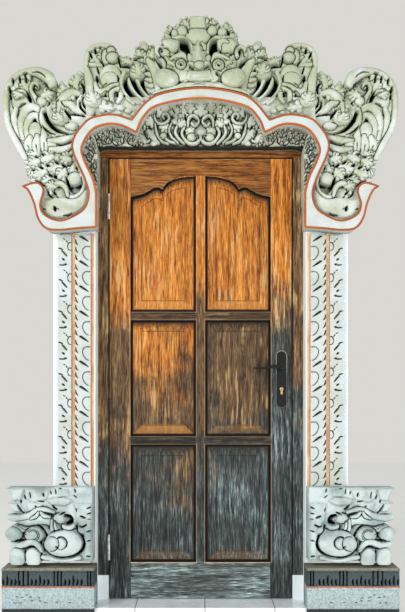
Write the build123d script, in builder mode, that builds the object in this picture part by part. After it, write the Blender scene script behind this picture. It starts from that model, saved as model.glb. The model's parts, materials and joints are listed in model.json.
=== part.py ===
from build123d import *
import os
from math import cos, radians, sin

# Carved temple door: a six-panel timber door in its frame, set in a carved and painted stone surround.
# Millimetres. +Z is up, the front faces -Y, x = 0 is the middle of the doorway, y = 0 is the face of
# the wall that the surround is built against and z = 0 is the ground. Every elevation is drawn on
# front(d), a plane that stands d in front of the wall face, so that its points read (x, z).

# Doorway and timber frame
leaf_width = 850.0
leaf_height = 2044.0
leaf_thickness = 40.0
leaf_gap = 2.0
sill_gap = 4.0
threshold_height = 20.0
frame_setback = 70.0
frame_depth = 110.0
frame_face = 50.0
head_face = 56.0
stop_width = 14.0
stop_gap = 1.5
block_height = 111.0
block_proud = 4.0

# Joinery of the leaf
stile_width = 100.0
muntin_width = 45.0
top_rail_side = 180.0
arch_rise = 99.0
bottom_rail_width = 168.0
cross_rail_width = 42.0
upper_rail_z = 1315.0
lower_rail_z = 736.0
groove_depth = 10.0
groove_width = 10.0
joinery_clearance = 0.15
panel_thickness = 30.0
panel_bevel = 50.0

# Hinges
hinge_length = 116.0
hinge_from_top = 226.0
hinge_from_bottom = 236.0
hinge_plate = 2.5
hinge_plate_width = 32.0
knuckle_radius = 7.0
knuckle_count = 5
knuckle_gap = 0.4
hinge_pin_radius = 3.5
pin_clearance = 0.05
screw_radius = 2.2
screw_head_radius = 4.2
screw_length = 24.0
screw_clearance = 0.2

# Lock
backset = 49.0
spindle_z = 1094.0
cylinder_z = 988.0
case_length = 76.0
case_thickness = 16.0
case_bottom = 925.0
case_top = 1155.0
faceplate_thickness = 3.0
faceplate_width = 24.0
faceplate_margin = 10.0
latch_z = 1126.0
latch_height = 24.0
latch_thickness = 12.0
latch_reach = 11.0
latch_length = 46.0
deadbolt_z = 1036.0
deadbolt_height = 28.0
deadbolt_length = 38.0
bolt_clearance = 0.3
strike_thickness = 2.0
strike_window_clearance = 2.0
plate_width = 53.0
plate_bottom = 906.0
plate_top = 1176.0
plate_thickness = 5.0
plate_rim = 2.5
lever_length = 131.0
lever_standoff = 46.0
lever_thickness = 12.0
neck_radius = 10.0
spindle_side = 8.0
spindle_clearance = 0.15
cylinder_radius = 8.5
cylinder_flange = 10.0
cylinder_height = 33.0
cylinder_proud = 5.0
plug_radius = 6.0
plug_clearance = 0.05
plate_screw_radius = 2.0

# Carved surround. Its figures are drawn for a doorway 954 mm wide with its head at 2070 and a plinth
# 204 high, and placed() carries them along when those sizes change.
drawn_half = 477.0
drawn_head = 2070.0
drawn_plinth = 204.0
lining_thickness = 28.0
plinth_width = 410.0
plinth_lap = 7.0
plinth_height = 204.0
plinth_depth = 125.0
neck_height = 23.0
foot_mask_height = 329.0
pilaster_depth = 20.0
fillet_proud = 12.0
inner_fillet_width = 19.0
inner_strip_width = 71.0
outer_fillet_width = 17.0
strip_gap = 6.0
outer_strip_width = 60.0
inner_motif = 114.0
outer_motif = 155.0
strip_relief = 26.0
strip_clearance = 22.0
carving_sides = 18
ball_sides = 10
band_depth = 120.0
band_line = 8.0
band_line_proud = 6.0
tympanum_setback = 15.0
head_cover = 9.0
crown_height = 167.0


def front(distance):
    """Plane parallel to the wall face, facing the viewer, so many millimetres in front of it."""
    return Plane.XZ.offset(distance)


def block(x0, x1, near, far, z0, z1, mode=Mode.ADD):
    """Rectangular piece between two distances in front of the wall face, near the larger one."""
    with BuildSketch(front(far)) as face:
        with Locations(((x0 + x1) / 2, (z0 + z1) / 2)):
            Rectangle(abs(x1 - x0), z1 - z0)
    extrude(face.sketch, amount=near - far, mode=mode)


def mirrored(piece):
    """The same piece for the other side of the doorway."""
    with BuildPart() as other:
        mirror(piece.part, about=Plane.YZ)
    return other


leaf_half = leaf_width / 2
jamb_inner = leaf_half + leaf_gap
leaf_front = -frame_setback
leaf_back = leaf_front - leaf_thickness
leaf_middle = (leaf_front + leaf_back) / 2
frame_back = leaf_front - frame_depth
leaf_bottom = threshold_height + sill_gap
leaf_top = leaf_bottom + leaf_height
head_z = leaf_top + leaf_gap
stile_inner = leaf_half - stile_width
muntin_half = muntin_width / 2
top_rail_z = leaf_top - top_rail_side
opening_half = jamb_inner + frame_face
spread = opening_half / drawn_half
head_lift = head_z - drawn_head
foot_lift = plinth_height - drawn_plinth
bottom_panel_z = leaf_bottom + bottom_rail_width
tongue = groove_depth - 0.3



def placed(x, z):
    """Where a point of the carving stands: it spreads with the doorway, and rises with the head of the
    door or with the plinth."""
    return x * spread, z + (head_lift if z > drawn_head / 2 else foot_lift)


def placed_all(*points):
    """The same for a run of points."""
    return [placed(*point) for point in points]


# Six panels, in two columns of three, each with its raised field on both faces
lower_opening = (bottom_panel_z, lower_rail_z)
middle_opening = (lower_rail_z + cross_rail_width, upper_rail_z)
upper_opening = (upper_rail_z + cross_rail_width, top_rail_z)


def square_outline(bottom, top, inset):
    """Left-hand panel opening, drawn in from its edges by the inset."""
    left = -stile_inner + inset
    right = -muntin_half - inset
    with BuildLine() as edge:
        Polyline((left, bottom + inset), (right, bottom + inset), (right, top - inset),
                 (left, top - inset), close=True)
    make_face(edge.edges())


def arched_outline(bottom, shoulder, inset):
    """Left-hand opening under the cusped arch of the top rail, drawn in by the inset."""
    left = -stile_inner + inset
    right = -muntin_half - inset
    crown = shoulder + arch_rise - inset
    cusp_x = -0.545 * stile_inner
    cusp = shoulder + 0.34 * arch_rise - inset
    bump_x = -0.735 * stile_inner
    with BuildLine() as edge:
        Polyline((left, shoulder - inset), (left, bottom + inset), (right, bottom + inset),
                 (right, crown))
        ThreePointArc((right, crown), (0.75 * cusp_x + 0.25 * right, crown - 0.19 * arch_rise),
                      (cusp_x, cusp))
        ThreePointArc((cusp_x, cusp), (0.55 * cusp_x + 0.45 * bump_x, cusp + 0.12 * arch_rise),
                      (bump_x, cusp - 0.04 * arch_rise))
        ThreePointArc((bump_x, cusp - 0.04 * arch_rise),
                      ((bump_x + left) / 2, shoulder + 0.1 * arch_rise - inset),
                      (left, shoulder - inset))
    make_face(edge.edges())


def make_panel(outline, bottom, top):
    """Raised and fielded panel: a tongued plate with a bevelled field on each face."""
    bevel_height = (panel_thickness - groove_width) / 2
    with BuildPart() as panel:
        with BuildSketch(front(leaf_middle - groove_width / 2 + joinery_clearance)):
            outline(bottom, top, -tongue)
        extrude(amount=groove_width - 2 * joinery_clearance)
        for side in (1, -1):
            root = leaf_middle + side * (groove_width / 2 - joinery_clearance)
            with BuildSketch(front(root)):
                outline(bottom, top, 2.0)
            with BuildSketch(front(root + side * bevel_height)):
                outline(bottom, top, panel_bevel)
            loft(ruled=True)
    return panel


panel_lower_left = make_panel(square_outline, *lower_opening)
panel_middle_left = make_panel(square_outline, *middle_opening)
panel_upper_left = make_panel(arched_outline, *upper_opening)
panel_lower_right = mirrored(panel_lower_left)
panel_middle_right = mirrored(panel_middle_left)
panel_upper_right = mirrored(panel_upper_left)


def groove(x0, x1, z0, z1):
    """Groove in the middle of the thickness, for a panel's tongue."""
    block(x0, x1, leaf_middle + groove_width / 2, leaf_middle - groove_width / 2, z0, z1, Mode.SUBTRACT)


def rail(x0, x1, z0, z1):
    """Rail between two uprights, with a stub tenon in the groove at each end and grooved edges."""
    half_tenon = groove_width / 2 - joinery_clearance
    block(x0, x1, leaf_front, leaf_back, z0, z1)
    block(x0 - tongue, x1 + tongue, leaf_middle + half_tenon, leaf_middle - half_tenon, z0, z1)


def make_cross_rail(z0):
    """Short rail between a stile and the muntin."""
    with BuildPart() as piece:
        rail(-stile_inner, -muntin_half, z0, z0 + cross_rail_width)
        for edge in (z0, z0 + cross_rail_width - groove_depth):
            groove(-stile_inner - groove_depth, -muntin_half + groove_depth, edge, edge + groove_depth)
    return piece


cross_rail_lower_left = make_cross_rail(lower_rail_z)
cross_rail_upper_left = make_cross_rail(upper_rail_z)
cross_rail_lower_right = mirrored(cross_rail_lower_left)
cross_rail_upper_right = mirrored(cross_rail_upper_left)

with BuildPart() as bottom_rail:
    rail(-stile_inner, stile_inner, leaf_bottom, bottom_panel_z)
    groove(-stile_inner - groove_depth, stile_inner + groove_depth,
           bottom_panel_z - groove_depth, bottom_panel_z)

with BuildPart() as top_rail:
    rail(-stile_inner, stile_inner, top_rail_z, leaf_top)
    # The cusped lower edge, one arch over each panel
    with BuildSketch(front(leaf_back)):
        arched_outline(*upper_opening, 0)
        mirror(about=Plane.YZ)
    extrude(amount=leaf_thickness, mode=Mode.SUBTRACT)
    with BuildSketch(front(leaf_middle - groove_width / 2)):
        arched_outline(*upper_opening, -groove_depth)
        mirror(about=Plane.YZ)
    extrude(amount=groove_width, mode=Mode.SUBTRACT)
    block(-muntin_half, muntin_half, leaf_front, leaf_back,
          top_rail_z, top_rail_z + arch_rise, Mode.SUBTRACT)
    groove(-muntin_half, muntin_half, top_rail_z, top_rail_z + arch_rise + groove_depth)

with BuildPart() as muntin:
    muntin_top = top_rail_z + arch_rise
    half_tenon = groove_width / 2 - joinery_clearance
    block(-muntin_half, muntin_half, leaf_front, leaf_back, bottom_panel_z, muntin_top)
    for edge in (-muntin_half, muntin_half - groove_depth):
        groove(edge, edge + groove_depth, bottom_panel_z, muntin_top)
    tenon_half = muntin_half - groove_depth
    for z0, z1 in ((bottom_panel_z - tongue, bottom_panel_z), (muntin_top, muntin_top + tongue)):
        block(-tenon_half, tenon_half, leaf_middle + half_tenon, leaf_middle - half_tenon, z0, z1)

# Butt hinges, one function for both: frame plate, leaf plate and pin turn about one line
hinge_x = -leaf_half - leaf_gap / 2
hinge_axis = leaf_front + knuckle_radius + 0.5
plate_reach = leaf_front - hinge_plate_width
knuckle_pitch = hinge_length / knuckle_count
base = (Align.CENTER, Align.CENTER, Align.MIN)


def hinge_screws(z_mid, x_face, direction):
    """Three countersunk screws through one hinge plate, pointing into the wood."""
    for i in (-1, 0, 1):
        head = Plane(origin=(x_face, -(leaf_front - hinge_plate_width / 2), z_mid + i * hinge_length / 3),
                     z_dir=(direction, 0, 0))
        with Locations(head):
            Cone(screw_head_radius, screw_radius, hinge_plate, align=base)
            Cylinder(screw_radius, hinge_plate + screw_length, align=base)


def hinge_screw_holes(z_mid, x_face, direction):
    """Countersunk clearance holes that hinge_screws fits."""
    for i in (-1, 0, 1):
        head = Plane(origin=(x_face, -(leaf_front - hinge_plate_width / 2), z_mid + i * hinge_length / 3),
                     z_dir=(direction, 0, 0))
        with Locations(head):
            Cone(screw_head_radius + screw_clearance, screw_radius + screw_clearance, hinge_plate,
                 align=base, mode=Mode.SUBTRACT)
            Cylinder(screw_radius + screw_clearance, hinge_plate + screw_length + screw_clearance,
                     align=base, mode=Mode.SUBTRACT)


def make_hinge_plate(z_mid, x_face, direction, first, bore):
    """Plate let into the wood, with every second knuckle rolled round the pin."""
    with BuildPart() as plate:
        block(x_face, x_face + direction * hinge_plate, leaf_front, plate_reach,
              z_mid - hinge_length / 2, z_mid + hinge_length / 2)
        for i in range(first, knuckle_count, 2):
            low = z_mid - hinge_length / 2 + i * knuckle_pitch + knuckle_gap / 2
            high = low + knuckle_pitch - knuckle_gap
            block(x_face, x_face + direction * hinge_plate, hinge_axis, leaf_front, low, high)
            with BuildSketch(Plane.XY.offset(low)):
                with Locations((hinge_x, -hinge_axis)):
                    Circle(knuckle_radius)
            extrude(amount=high - low)
        with BuildSketch(Plane.XY.offset(z_mid - hinge_length / 2)):
            with Locations((hinge_x, -hinge_axis)):
                Circle(bore)
        extrude(amount=hinge_length, mode=Mode.SUBTRACT)
        hinge_screw_holes(z_mid, x_face, direction)
    return plate


def make_hinge_pin(z_mid):
    """Loose pin with a small ball head standing on the top knuckle."""
    with BuildPart() as pin:
        with BuildSketch(Plane.XY.offset(z_mid - hinge_length / 2)):
            with Locations((hinge_x, -hinge_axis)):
                Circle(hinge_pin_radius)
        extrude(amount=hinge_length)
        with BuildSketch(Plane.XY.offset(z_mid + hinge_length / 2)):
            with Locations((hinge_x, -hinge_axis)):
                Circle(hinge_pin_radius + 1.5)
        extrude(amount=hinge_pin_radius)
    return pin


hinge_heights = {"upper": leaf_top - hinge_from_top, "lower": leaf_bottom + hinge_from_bottom}
hinge_nodes = {}
for place, z_mid in hinge_heights.items():
    bore = hinge_pin_radius + pin_clearance
    hinge_nodes[f"hinge_{place}_frame_plate"] = make_hinge_plate(z_mid, -jamb_inner, -1, 0, bore)
    hinge_nodes[f"hinge_{place}_leaf_plate"] = make_hinge_plate(z_mid, -leaf_half, 1, 1, bore)
    hinge_nodes[f"hinge_{place}_pin"] = make_hinge_pin(z_mid)

with BuildPart() as hinge_stile:
    block(-leaf_half, -stile_inner, leaf_front, leaf_back, leaf_bottom, leaf_top)
    groove(-stile_inner - groove_depth, -stile_inner, leaf_bottom, leaf_top)
    for z_mid in hinge_heights.values():
        block(-leaf_half, -leaf_half + hinge_plate, leaf_front, plate_reach,
              z_mid - hinge_length / 2, z_mid + hinge_length / 2, Mode.SUBTRACT)
        hinge_screw_holes(z_mid, -leaf_half, 1)

# Mortice lock in the other stile
lock_x = leaf_half - backset
case_front = leaf_half - faceplate_thickness
case_back = case_front - case_length
case_near = leaf_middle + case_thickness / 2
case_far = leaf_middle - case_thickness / 2
face_near = leaf_middle + faceplate_width / 2
face_far = leaf_middle - faceplate_width / 2
face_bottom = case_bottom - faceplate_margin
face_top = case_top + faceplate_margin
latch_tip = leaf_half + latch_reach
deadbolt_tip = leaf_half - 0.5
half_bolt = latch_thickness / 2


def bolt_channel(z_mid, height, x0, x1, clearance):
    """Channel that a bolt slides in, cut with its clearance."""
    block(x0, x1, leaf_middle + half_bolt + clearance, leaf_middle - half_bolt - clearance,
          z_mid - height / 2 - clearance, z_mid + height / 2 + clearance, Mode.SUBTRACT)


def cylinder_profile(extra):
    """Keyhole-shaped section of the lock cylinder: a round head over a narrow foot."""
    centre = cylinder_z + cylinder_height / 2 - cylinder_radius
    low = cylinder_z - cylinder_height / 2
    with Locations((lock_x, centre)):
        Circle(cylinder_radius + extra)
    with Locations((lock_x, (centre + low) / 2)):
        Rectangle(cylinder_flange + 2 * extra, centre - low + 2 * extra)


cylinder_centre = cylinder_z + cylinder_height / 2 - cylinder_radius
plate_near = leaf_front + plate_thickness
plate_far = leaf_back - plate_thickness
cylinder_near = plate_near + cylinder_proud
cylinder_far = plate_far - cylinder_proud

with BuildPart() as lock_case:
    block(case_back, case_front, case_near, case_far, case_bottom, case_top)
    bolt_channel(latch_z, latch_height, latch_tip - latch_length - 14, case_front, bolt_clearance)
    bolt_channel(deadbolt_z, deadbolt_height, deadbolt_tip - deadbolt_length - 2, case_front, bolt_clearance)
    with BuildSketch(front(case_far)):
        with Locations((lock_x, spindle_z)):
            Circle(neck_radius)
        cylinder_profile(spindle_clearance)
    extrude(amount=case_thickness, mode=Mode.SUBTRACT)
    fillet(lock_case.edges().filter_by(Axis.Y).group_by(Axis.X)[0], 3)

with BuildPart() as lock_faceplate:
    block(case_front, leaf_half, face_near, face_far, face_bottom, face_top)
    bolt_channel(latch_z, latch_height, case_front, leaf_half, bolt_clearance)
    bolt_channel(deadbolt_z, deadbolt_height, case_front, leaf_half, bolt_clearance)
    fillet(lock_faceplate.edges().filter_by(Axis.X).group_by(Axis.Z)[0], 4)

with BuildPart() as latch_bolt:
    # The nose is bevelled on the side that meets the strike as the door shuts
    with BuildSketch(Plane.XY.offset(latch_z - latch_height / 2)):
        with BuildLine():
            Polyline((latch_tip - latch_length, -leaf_middle - half_bolt),
                     (leaf_half, -leaf_middle - half_bolt),
                     (latch_tip, -leaf_middle - half_bolt + 1),
                     (leaf_half + 1, -leaf_middle + half_bolt),
                     (latch_tip - latch_length, -leaf_middle + half_bolt), close=True)
        make_face()
    extrude(amount=latch_height)

with BuildPart() as dead_bolt:
    block(deadbolt_tip - deadbolt_length, deadbolt_tip, leaf_middle + half_bolt, leaf_middle - half_bolt,
          deadbolt_z - deadbolt_height / 2, deadbolt_z + deadbolt_height / 2)
    chamfer(dead_bolt.faces().sort_by(Axis.X)[-1].edges(), 1)

with BuildPart() as lock_stile:
    block(stile_inner, leaf_half, leaf_front, leaf_back, leaf_bottom, leaf_top)
    groove(stile_inner, stile_inner + groove_depth, leaf_bottom, leaf_top)
    block(case_back - joinery_clearance, case_front, case_near + joinery_clearance,
          case_far - joinery_clearance, case_bottom - joinery_clearance,
          case_top + joinery_clearance, Mode.SUBTRACT)
    block(case_front, leaf_half, face_near, face_far, face_bottom, face_top, Mode.SUBTRACT)
    with BuildSketch(front(leaf_back)):
        with Locations((lock_x, spindle_z)):
            Circle(neck_radius)
        cylinder_profile(spindle_clearance)
    extrude(amount=leaf_thickness, mode=Mode.SUBTRACT)

plate_screw_heights = (plate_bottom + 16, plate_bottom + 46, plate_top - 28)


def plate_outline(inset):
    """Arched top, straight sides and a stepped round foot, drawn in by the inset."""
    half = plate_width / 2 - inset
    shoulder = plate_top - 34
    foot = plate_bottom + 30
    with BuildLine() as edge:
        Polyline((lock_x - half, foot), (lock_x - half, shoulder))
        ThreePointArc((lock_x - half, shoulder), (lock_x, plate_top - inset), (lock_x + half, shoulder))
        Polyline((lock_x + half, shoulder), (lock_x + half, foot), (lock_x + half - 7, foot - 5))
        ThreePointArc((lock_x + half - 7, foot - 5), (lock_x, plate_bottom + inset),
                      (lock_x - half + 7, foot - 5))
        Polyline((lock_x - half + 7, foot - 5), (lock_x - half, foot))
    make_face(edge.edges())


def make_escutcheon(face, side):
    """Lock plate with a raised rim; side is +1 for the front face of the leaf and -1 for the back."""
    outer = face if side > 0 else face - plate_thickness
    with BuildPart() as plate:
        with BuildSketch(front(outer)):
            plate_outline(0)
        extrude(amount=plate_thickness)
        near = face + plate_thickness if side > 0 else face - plate_thickness
        with BuildSketch(front(near)):
            plate_outline(4)
        extrude(amount=-side * plate_rim, mode=Mode.SUBTRACT)
        with BuildSketch(front(outer - 1)):
            with Locations((lock_x, spindle_z)):
                Circle(neck_radius + 0.5)
            cylinder_profile(spindle_clearance)
            for z in plate_screw_heights:
                with Locations((lock_x, z)):
                    Circle(plate_screw_radius + 0.1)
        extrude(amount=plate_thickness + 2, mode=Mode.SUBTRACT)
    return plate


escutcheon_front = make_escutcheon(leaf_front, 1)
escutcheon_back = make_escutcheon(leaf_back, -1)

with BuildPart() as plate_screws:
    for face, side in ((leaf_front + plate_thickness - plate_rim, 1),
                       (leaf_back - plate_thickness + plate_rim, -1)):
        for z in plate_screw_heights:
            with BuildSketch(front(face)):
                with Locations((lock_x, z)):
                    Circle(plate_screw_radius * 2)
            extrude(amount=side * 1.5)
            with BuildSketch(front(face)):
                with Locations((lock_x, z)):
                    Circle(plate_screw_radius)
            extrude(amount=-side * (plate_thickness - plate_rim + 10))

with BuildPart(mode=Mode.PRIVATE) as screw_pilot:
    for face, side in ((leaf_front, 1), (leaf_back, -1)):
        for z in plate_screw_heights:
            with BuildSketch(front(face)):
                with Locations((lock_x, z)):
                    Circle(plate_screw_radius + 0.1)
            extrude(amount=-side * 10.5)
with lock_stile:
    add(screw_pilot.part, mode=Mode.SUBTRACT)


def make_lever(face, side):
    """Wavy tapering lever on its neck; side is +1 on the front of the leaf and -1 on the back."""
    plane = face + side * (lever_standoff - lever_thickness)
    tip_x = lock_x - lever_length
    with BuildPart() as lever:
        with BuildSketch(front(face + side * 0.3)):
            with Locations((lock_x, spindle_z)):
                Circle(neck_radius)
        extrude(amount=side * (lever_standoff - 0.3))
        with BuildSketch(front(plane)):
            with BuildLine():
                Spline((lock_x, spindle_z + 9), (lock_x - 40, spindle_z + 13),
                       (lock_x - 90, spindle_z + 3), (tip_x, spindle_z + 3))
                Line((tip_x, spindle_z + 3), (tip_x, spindle_z - 4))
                Spline((tip_x, spindle_z - 4), (lock_x - 90, spindle_z - 7),
                       (lock_x - 40, spindle_z - 3), (lock_x, spindle_z - 9))
                Line((lock_x, spindle_z - 9), (lock_x, spindle_z + 9))
            make_face()
        extrude(amount=side * lever_thickness)
        with BuildSketch(front(face)):
            with Locations((lock_x, spindle_z)):
                Rectangle(spindle_side + 2 * spindle_clearance, spindle_side + 2 * spindle_clearance)
        extrude(amount=side * (lever_standoff - 6), mode=Mode.SUBTRACT)
    return lever


lever_front = make_lever(plate_near - plate_rim, 1)
lever_back = make_lever(plate_far + plate_rim, -1)
spindle_near = plate_near - plate_rim + lever_standoff - 6.5
spindle_far = plate_far + plate_rim - lever_standoff + 6.5

with BuildPart() as spindle:
    block(lock_x - spindle_side / 2, lock_x + spindle_side / 2, spindle_near, spindle_far,
          spindle_z - spindle_side / 2, spindle_z + spindle_side / 2)

with BuildPart() as lock_cylinder:
    with BuildSketch(front(cylinder_far)):
        cylinder_profile(0)
    extrude(amount=cylinder_near - cylinder_far)
    with BuildSketch(front(cylinder_far)):
        with Locations((lock_x, cylinder_centre)):
            Circle(plug_radius + plug_clearance)
    extrude(amount=cylinder_near - cylinder_far, mode=Mode.SUBTRACT)

with BuildPart() as cylinder_plug:
    with BuildSketch(front(cylinder_far)):
        with Locations((lock_x, cylinder_centre)):
            Circle(plug_radius)
    extrude(amount=cylinder_near - cylinder_far)
    for face, side in ((cylinder_near, -1), (cylinder_far, 1)):
        with BuildSketch(front(face)):
            with Locations((lock_x, cylinder_centre)):
                Rectangle(1.6, plug_radius * 1.5)
        extrude(amount=side * 20, mode=Mode.SUBTRACT)

# Timber frame: rebated jambs on stone blocks, under a rebated head
frame_outer = jamb_inner + frame_face
stop_near = leaf_back - stop_gap
block_top = threshold_height + block_height

with BuildPart() as jamb_left:
    block(-frame_outer, -jamb_inner, leaf_front, frame_back, block_top, head_z)
    block(-jamb_inner, -jamb_inner + stop_width, stop_near, frame_back, block_top, head_z)
    for z_mid in hinge_heights.values():
        block(-jamb_inner - hinge_plate, -jamb_inner, leaf_front, plate_reach,
              z_mid - hinge_length / 2, z_mid + hinge_length / 2, Mode.SUBTRACT)
        hinge_screw_holes(z_mid, -jamb_inner, -1)

pocket_depth = 26.0
strike_bottom = face_bottom + 60
strike_top = face_top
strike_screw_heights = (strike_bottom + 16, strike_top - 12)
windows = ((latch_z, latch_height), (deadbolt_z, deadbolt_height))
strike_near = leaf_front
strike_far = face_far

with BuildPart() as jamb_right:
    block(jamb_inner, frame_outer, leaf_front, frame_back, block_top, head_z)
    block(jamb_inner - stop_width, jamb_inner, stop_near, frame_back, block_top, head_z)
    block(jamb_inner, jamb_inner + strike_thickness, strike_near, strike_far,
          strike_bottom, strike_top, Mode.SUBTRACT)
    for z_mid, height in windows:
        bolt_channel(z_mid, height, jamb_inner, jamb_inner + pocket_depth, strike_window_clearance)
    for z in strike_screw_heights:
        with BuildSketch(Plane.YZ.offset(jamb_inner)):
            with Locations((-leaf_middle, z)):
                Circle(screw_radius + screw_clearance)
        extrude(amount=screw_length + strike_thickness, mode=Mode.SUBTRACT)

with BuildPart() as strike_plate:
    block(jamb_inner, jamb_inner + strike_thickness, strike_near, strike_far, strike_bottom, strike_top)
    # Lip that guides the latch, standing in front of the jamb
    block(jamb_inner, jamb_inner + strike_thickness, strike_near + 7, strike_near,
          latch_z - latch_height, latch_z + latch_height)
    for z_mid, height in windows:
        bolt_channel(z_mid, height, jamb_inner, jamb_inner + strike_thickness, strike_window_clearance)
    for z in strike_screw_heights:
        with BuildSketch(Plane.YZ.offset(jamb_inner)):
            with Locations((-leaf_middle, z)):
                Circle(screw_radius + screw_clearance)
        extrude(amount=strike_thickness, mode=Mode.SUBTRACT)

with BuildPart() as leaf_screws:
    for z_mid in hinge_heights.values():
        hinge_screws(z_mid, -leaf_half, 1)

with BuildPart() as frame_screws:
    for z_mid in hinge_heights.values():
        hinge_screws(z_mid, -jamb_inner, -1)
    for z in strike_screw_heights:
        with BuildSketch(Plane.YZ.offset(jamb_inner)):
            with Locations((-leaf_middle, z)):
                Circle(screw_radius)
        extrude(amount=screw_length)

with BuildPart() as frame_head:
    block(-frame_outer, frame_outer, leaf_front, frame_back, head_z, head_z + head_face)
    block(-jamb_inner + stop_width, jamb_inner - stop_width, stop_near, frame_back,
          head_z - stop_width, head_z)

with BuildPart() as base_block_left:
    block(-frame_outer, -jamb_inner, leaf_front + block_proud, frame_back, threshold_height, block_top)
base_block_right = mirrored(base_block_left)

# White tiled threshold between the plinths, with open joints between its tiles
threshold_front = 105.0
plinth_inner = opening_half - plinth_lap
plinth_half = plinth_inner + plinth_width
mask_bottom = plinth_height + neck_height
mask_top = mask_bottom + foot_mask_height
inner_fillet = (opening_half, opening_half + inner_fillet_width)
inner_strip = (inner_fillet[1], inner_fillet[1] + inner_strip_width)
outer_fillet = (inner_strip[1], inner_strip[1] + outer_fillet_width)
outer_strip = (outer_fillet[1] + strip_gap, outer_fillet[1] + strip_gap + outer_strip_width)
lining_outer = opening_half + lining_thickness
with BuildPart() as threshold:
    block(-lining_outer, lining_outer, threshold_front, frame_back, 0, threshold_height)
    for joint_x in (-300.0, 20.0):
        block(joint_x - 1.5, joint_x + 1.5, threshold_front, frame_back,
              threshold_height - 2, threshold_height, Mode.SUBTRACT)
    chamfer(threshold.edges().filter_by(Axis.X).group_by(Axis.Z)[-1].sort_by(Axis.Y)[0], 2)


# Moulded band over the doorway. Its upper and lower lines are each a run of curves between points
# where the line breaks: the middle of the arch, the cusp, the throat of the hook and the curled tip.
band_crown = 2328.0 + head_lift
band_width = 44.0
band_cusp = placed(-306.0, 2187.0)
band_throat = placed(-711.0, 1809.0)
band_tip = placed(-789.0, 1893.0)
band_foot = placed(-463.0, 1712.0)
band_joint = 361.0 * spread
strip_top = band_foot[1] - strip_clearance


def band_run(facets, *points, tangents=None):
    """Part of an edge of the band: a smooth curve through the points, cut with that many flat facets."""
    curve = Spline(*points, tangents=tangents, mode=Mode.PRIVATE)
    Polyline(*[curve @ (i / facets) for i in range(facets + 1)])


def band_upper_line():
    """Upper edge of the band's left half, from the middle of the arch to the curled tip."""
    band_run(8, (0, band_crown), *placed_all((-158, 2307), (-237, 2269)), band_cusp,
             tangents=[(-1, 0), (-0.35, -1)])
    band_run(24, band_cusp, *placed_all((-379, 2209), (-446, 2205), (-512, 2176), (-570, 2074),
             (-516, 1933), (-496, 1862), (-512, 1800), (-556, 1764), (-623, 1740), (-689, 1764)),
             band_throat)
    band_run(5, band_throat, *placed_all((-696, 1875), (-725, 1908)), band_tip)


def band_lower_line():
    """Lower edge of the left half, from the curled tip round the hook and up to the arch."""
    shoulder = placed(-463, 1866)
    spring = placed(-285, 2132)
    band_run(13, band_tip, *placed_all((-764, 1875), (-738, 1817), (-720, 1751), (-685, 1707),
             (-623, 1699), (-550, 1706)), band_foot)
    Line(band_foot, shoulder)
    band_run(16, shoulder, *placed_all((-481, 1933), (-516, 2008), (-527, 2066), (-485, 2139),
             (-423, 2167), (-357, 2165)), spring, tangents=[(0, 1), (1, -0.7)])
    band_run(8, spring, *placed_all((-255, 2198), (-189, 2252)), (0, band_crown - band_width),
             tangents=[(0.35, 1), (1, 0)])


def band_face(mode=Mode.ADD):
    """Left half of the band, seen from the front."""
    with BuildLine() as edge:
        band_upper_line()
        band_lower_line()
        Line((0, band_crown - band_width), (0, band_crown))
    make_face(edge.edges(), mode=mode)


# The channel between the band's two raised lines: its face drawn in
with BuildSketch(front(band_depth)) as band_channel:
    band_face()
    offset(amount=-band_line, kind=Kind.INTERSECTION, mode=Mode.REPLACE)
    with Locations((0, band_crown - band_width / 2)):
        Rectangle(2 * band_line + 2, band_width - 2 * band_line)
    mirror(about=Plane.YZ)
channel_face = band_channel.sketch


def make_band(x0, x1, halves):
    """One length of the band's left half, or of both halves."""
    with BuildPart() as piece:
        with BuildSketch(Plane.XZ):
            band_face()
            with Locations(((x0 + x1) / 2, band_foot[1])):
                Rectangle(x1 - x0, 2 * (band_crown - band_foot[1]), mode=Mode.INTERSECT)
            if halves == 2:
                mirror(about=Plane.YZ)
        extrude(amount=band_depth + band_line_proud)
        extrude(channel_face, amount=band_line_proud, mode=Mode.SUBTRACT)
    return piece


band_centre = make_band(-band_joint, 0, 2)
band_left = make_band(-plinth_half, -band_joint, 1)
band_right = mirrored(band_left)


def stroke(start, middle, end, width):
    """Chisel stroke through three points, cut with flat facets: it swells to its width and thins to a
    point at each end."""
    start, middle, end = Vector(*start), Vector(*middle), Vector(*end)
    bend = middle * 2 - (start + end) / 2
    across = (end - start).rotate(Axis.Z, 90).normalized() * (width / 2)
    spine = [start * (1 - t) ** 2 + bend * (2 * t * (1 - t)) + end * t**2 for t in (0.25, 0.5, 0.75)]
    swell = [across * share for share in (0.75, 1, 0.75)]
    with BuildLine() as edge:
        Polyline(start, *[p + w for p, w in zip(spine, swell)], end,
                 *[p - w for p, w in zip(reversed(spine), swell)], close=True)
    make_face(edge.edges())


def oval(rx, rz, sides=carving_sides, mode=Mode.ADD):
    """Ellipse cut with flat facets, in the sketch being built."""
    turns = [radians(360 * (i + 0.5) / sides) for i in range(sides)]
    Polygon(*[(rx * cos(a), rz * sin(a)) for a in turns], align=None, mode=mode)


def chisel(start, middle, end, width):
    """A stroke of the placed carving."""
    stroke(placed(*start), placed(*middle), placed(*end), width)


def leaf(x, z, length, width, angle):
    """Pointed leaf from its root at (x, z), drawn in the sketch being built."""
    with Locations(placed(x, z)):
        Polygon((0, -width / 2), (0.55 * length, -width / 2), (length, 0), (0.55 * length, width / 2),
                (0, width / 2), rotation=angle)


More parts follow.
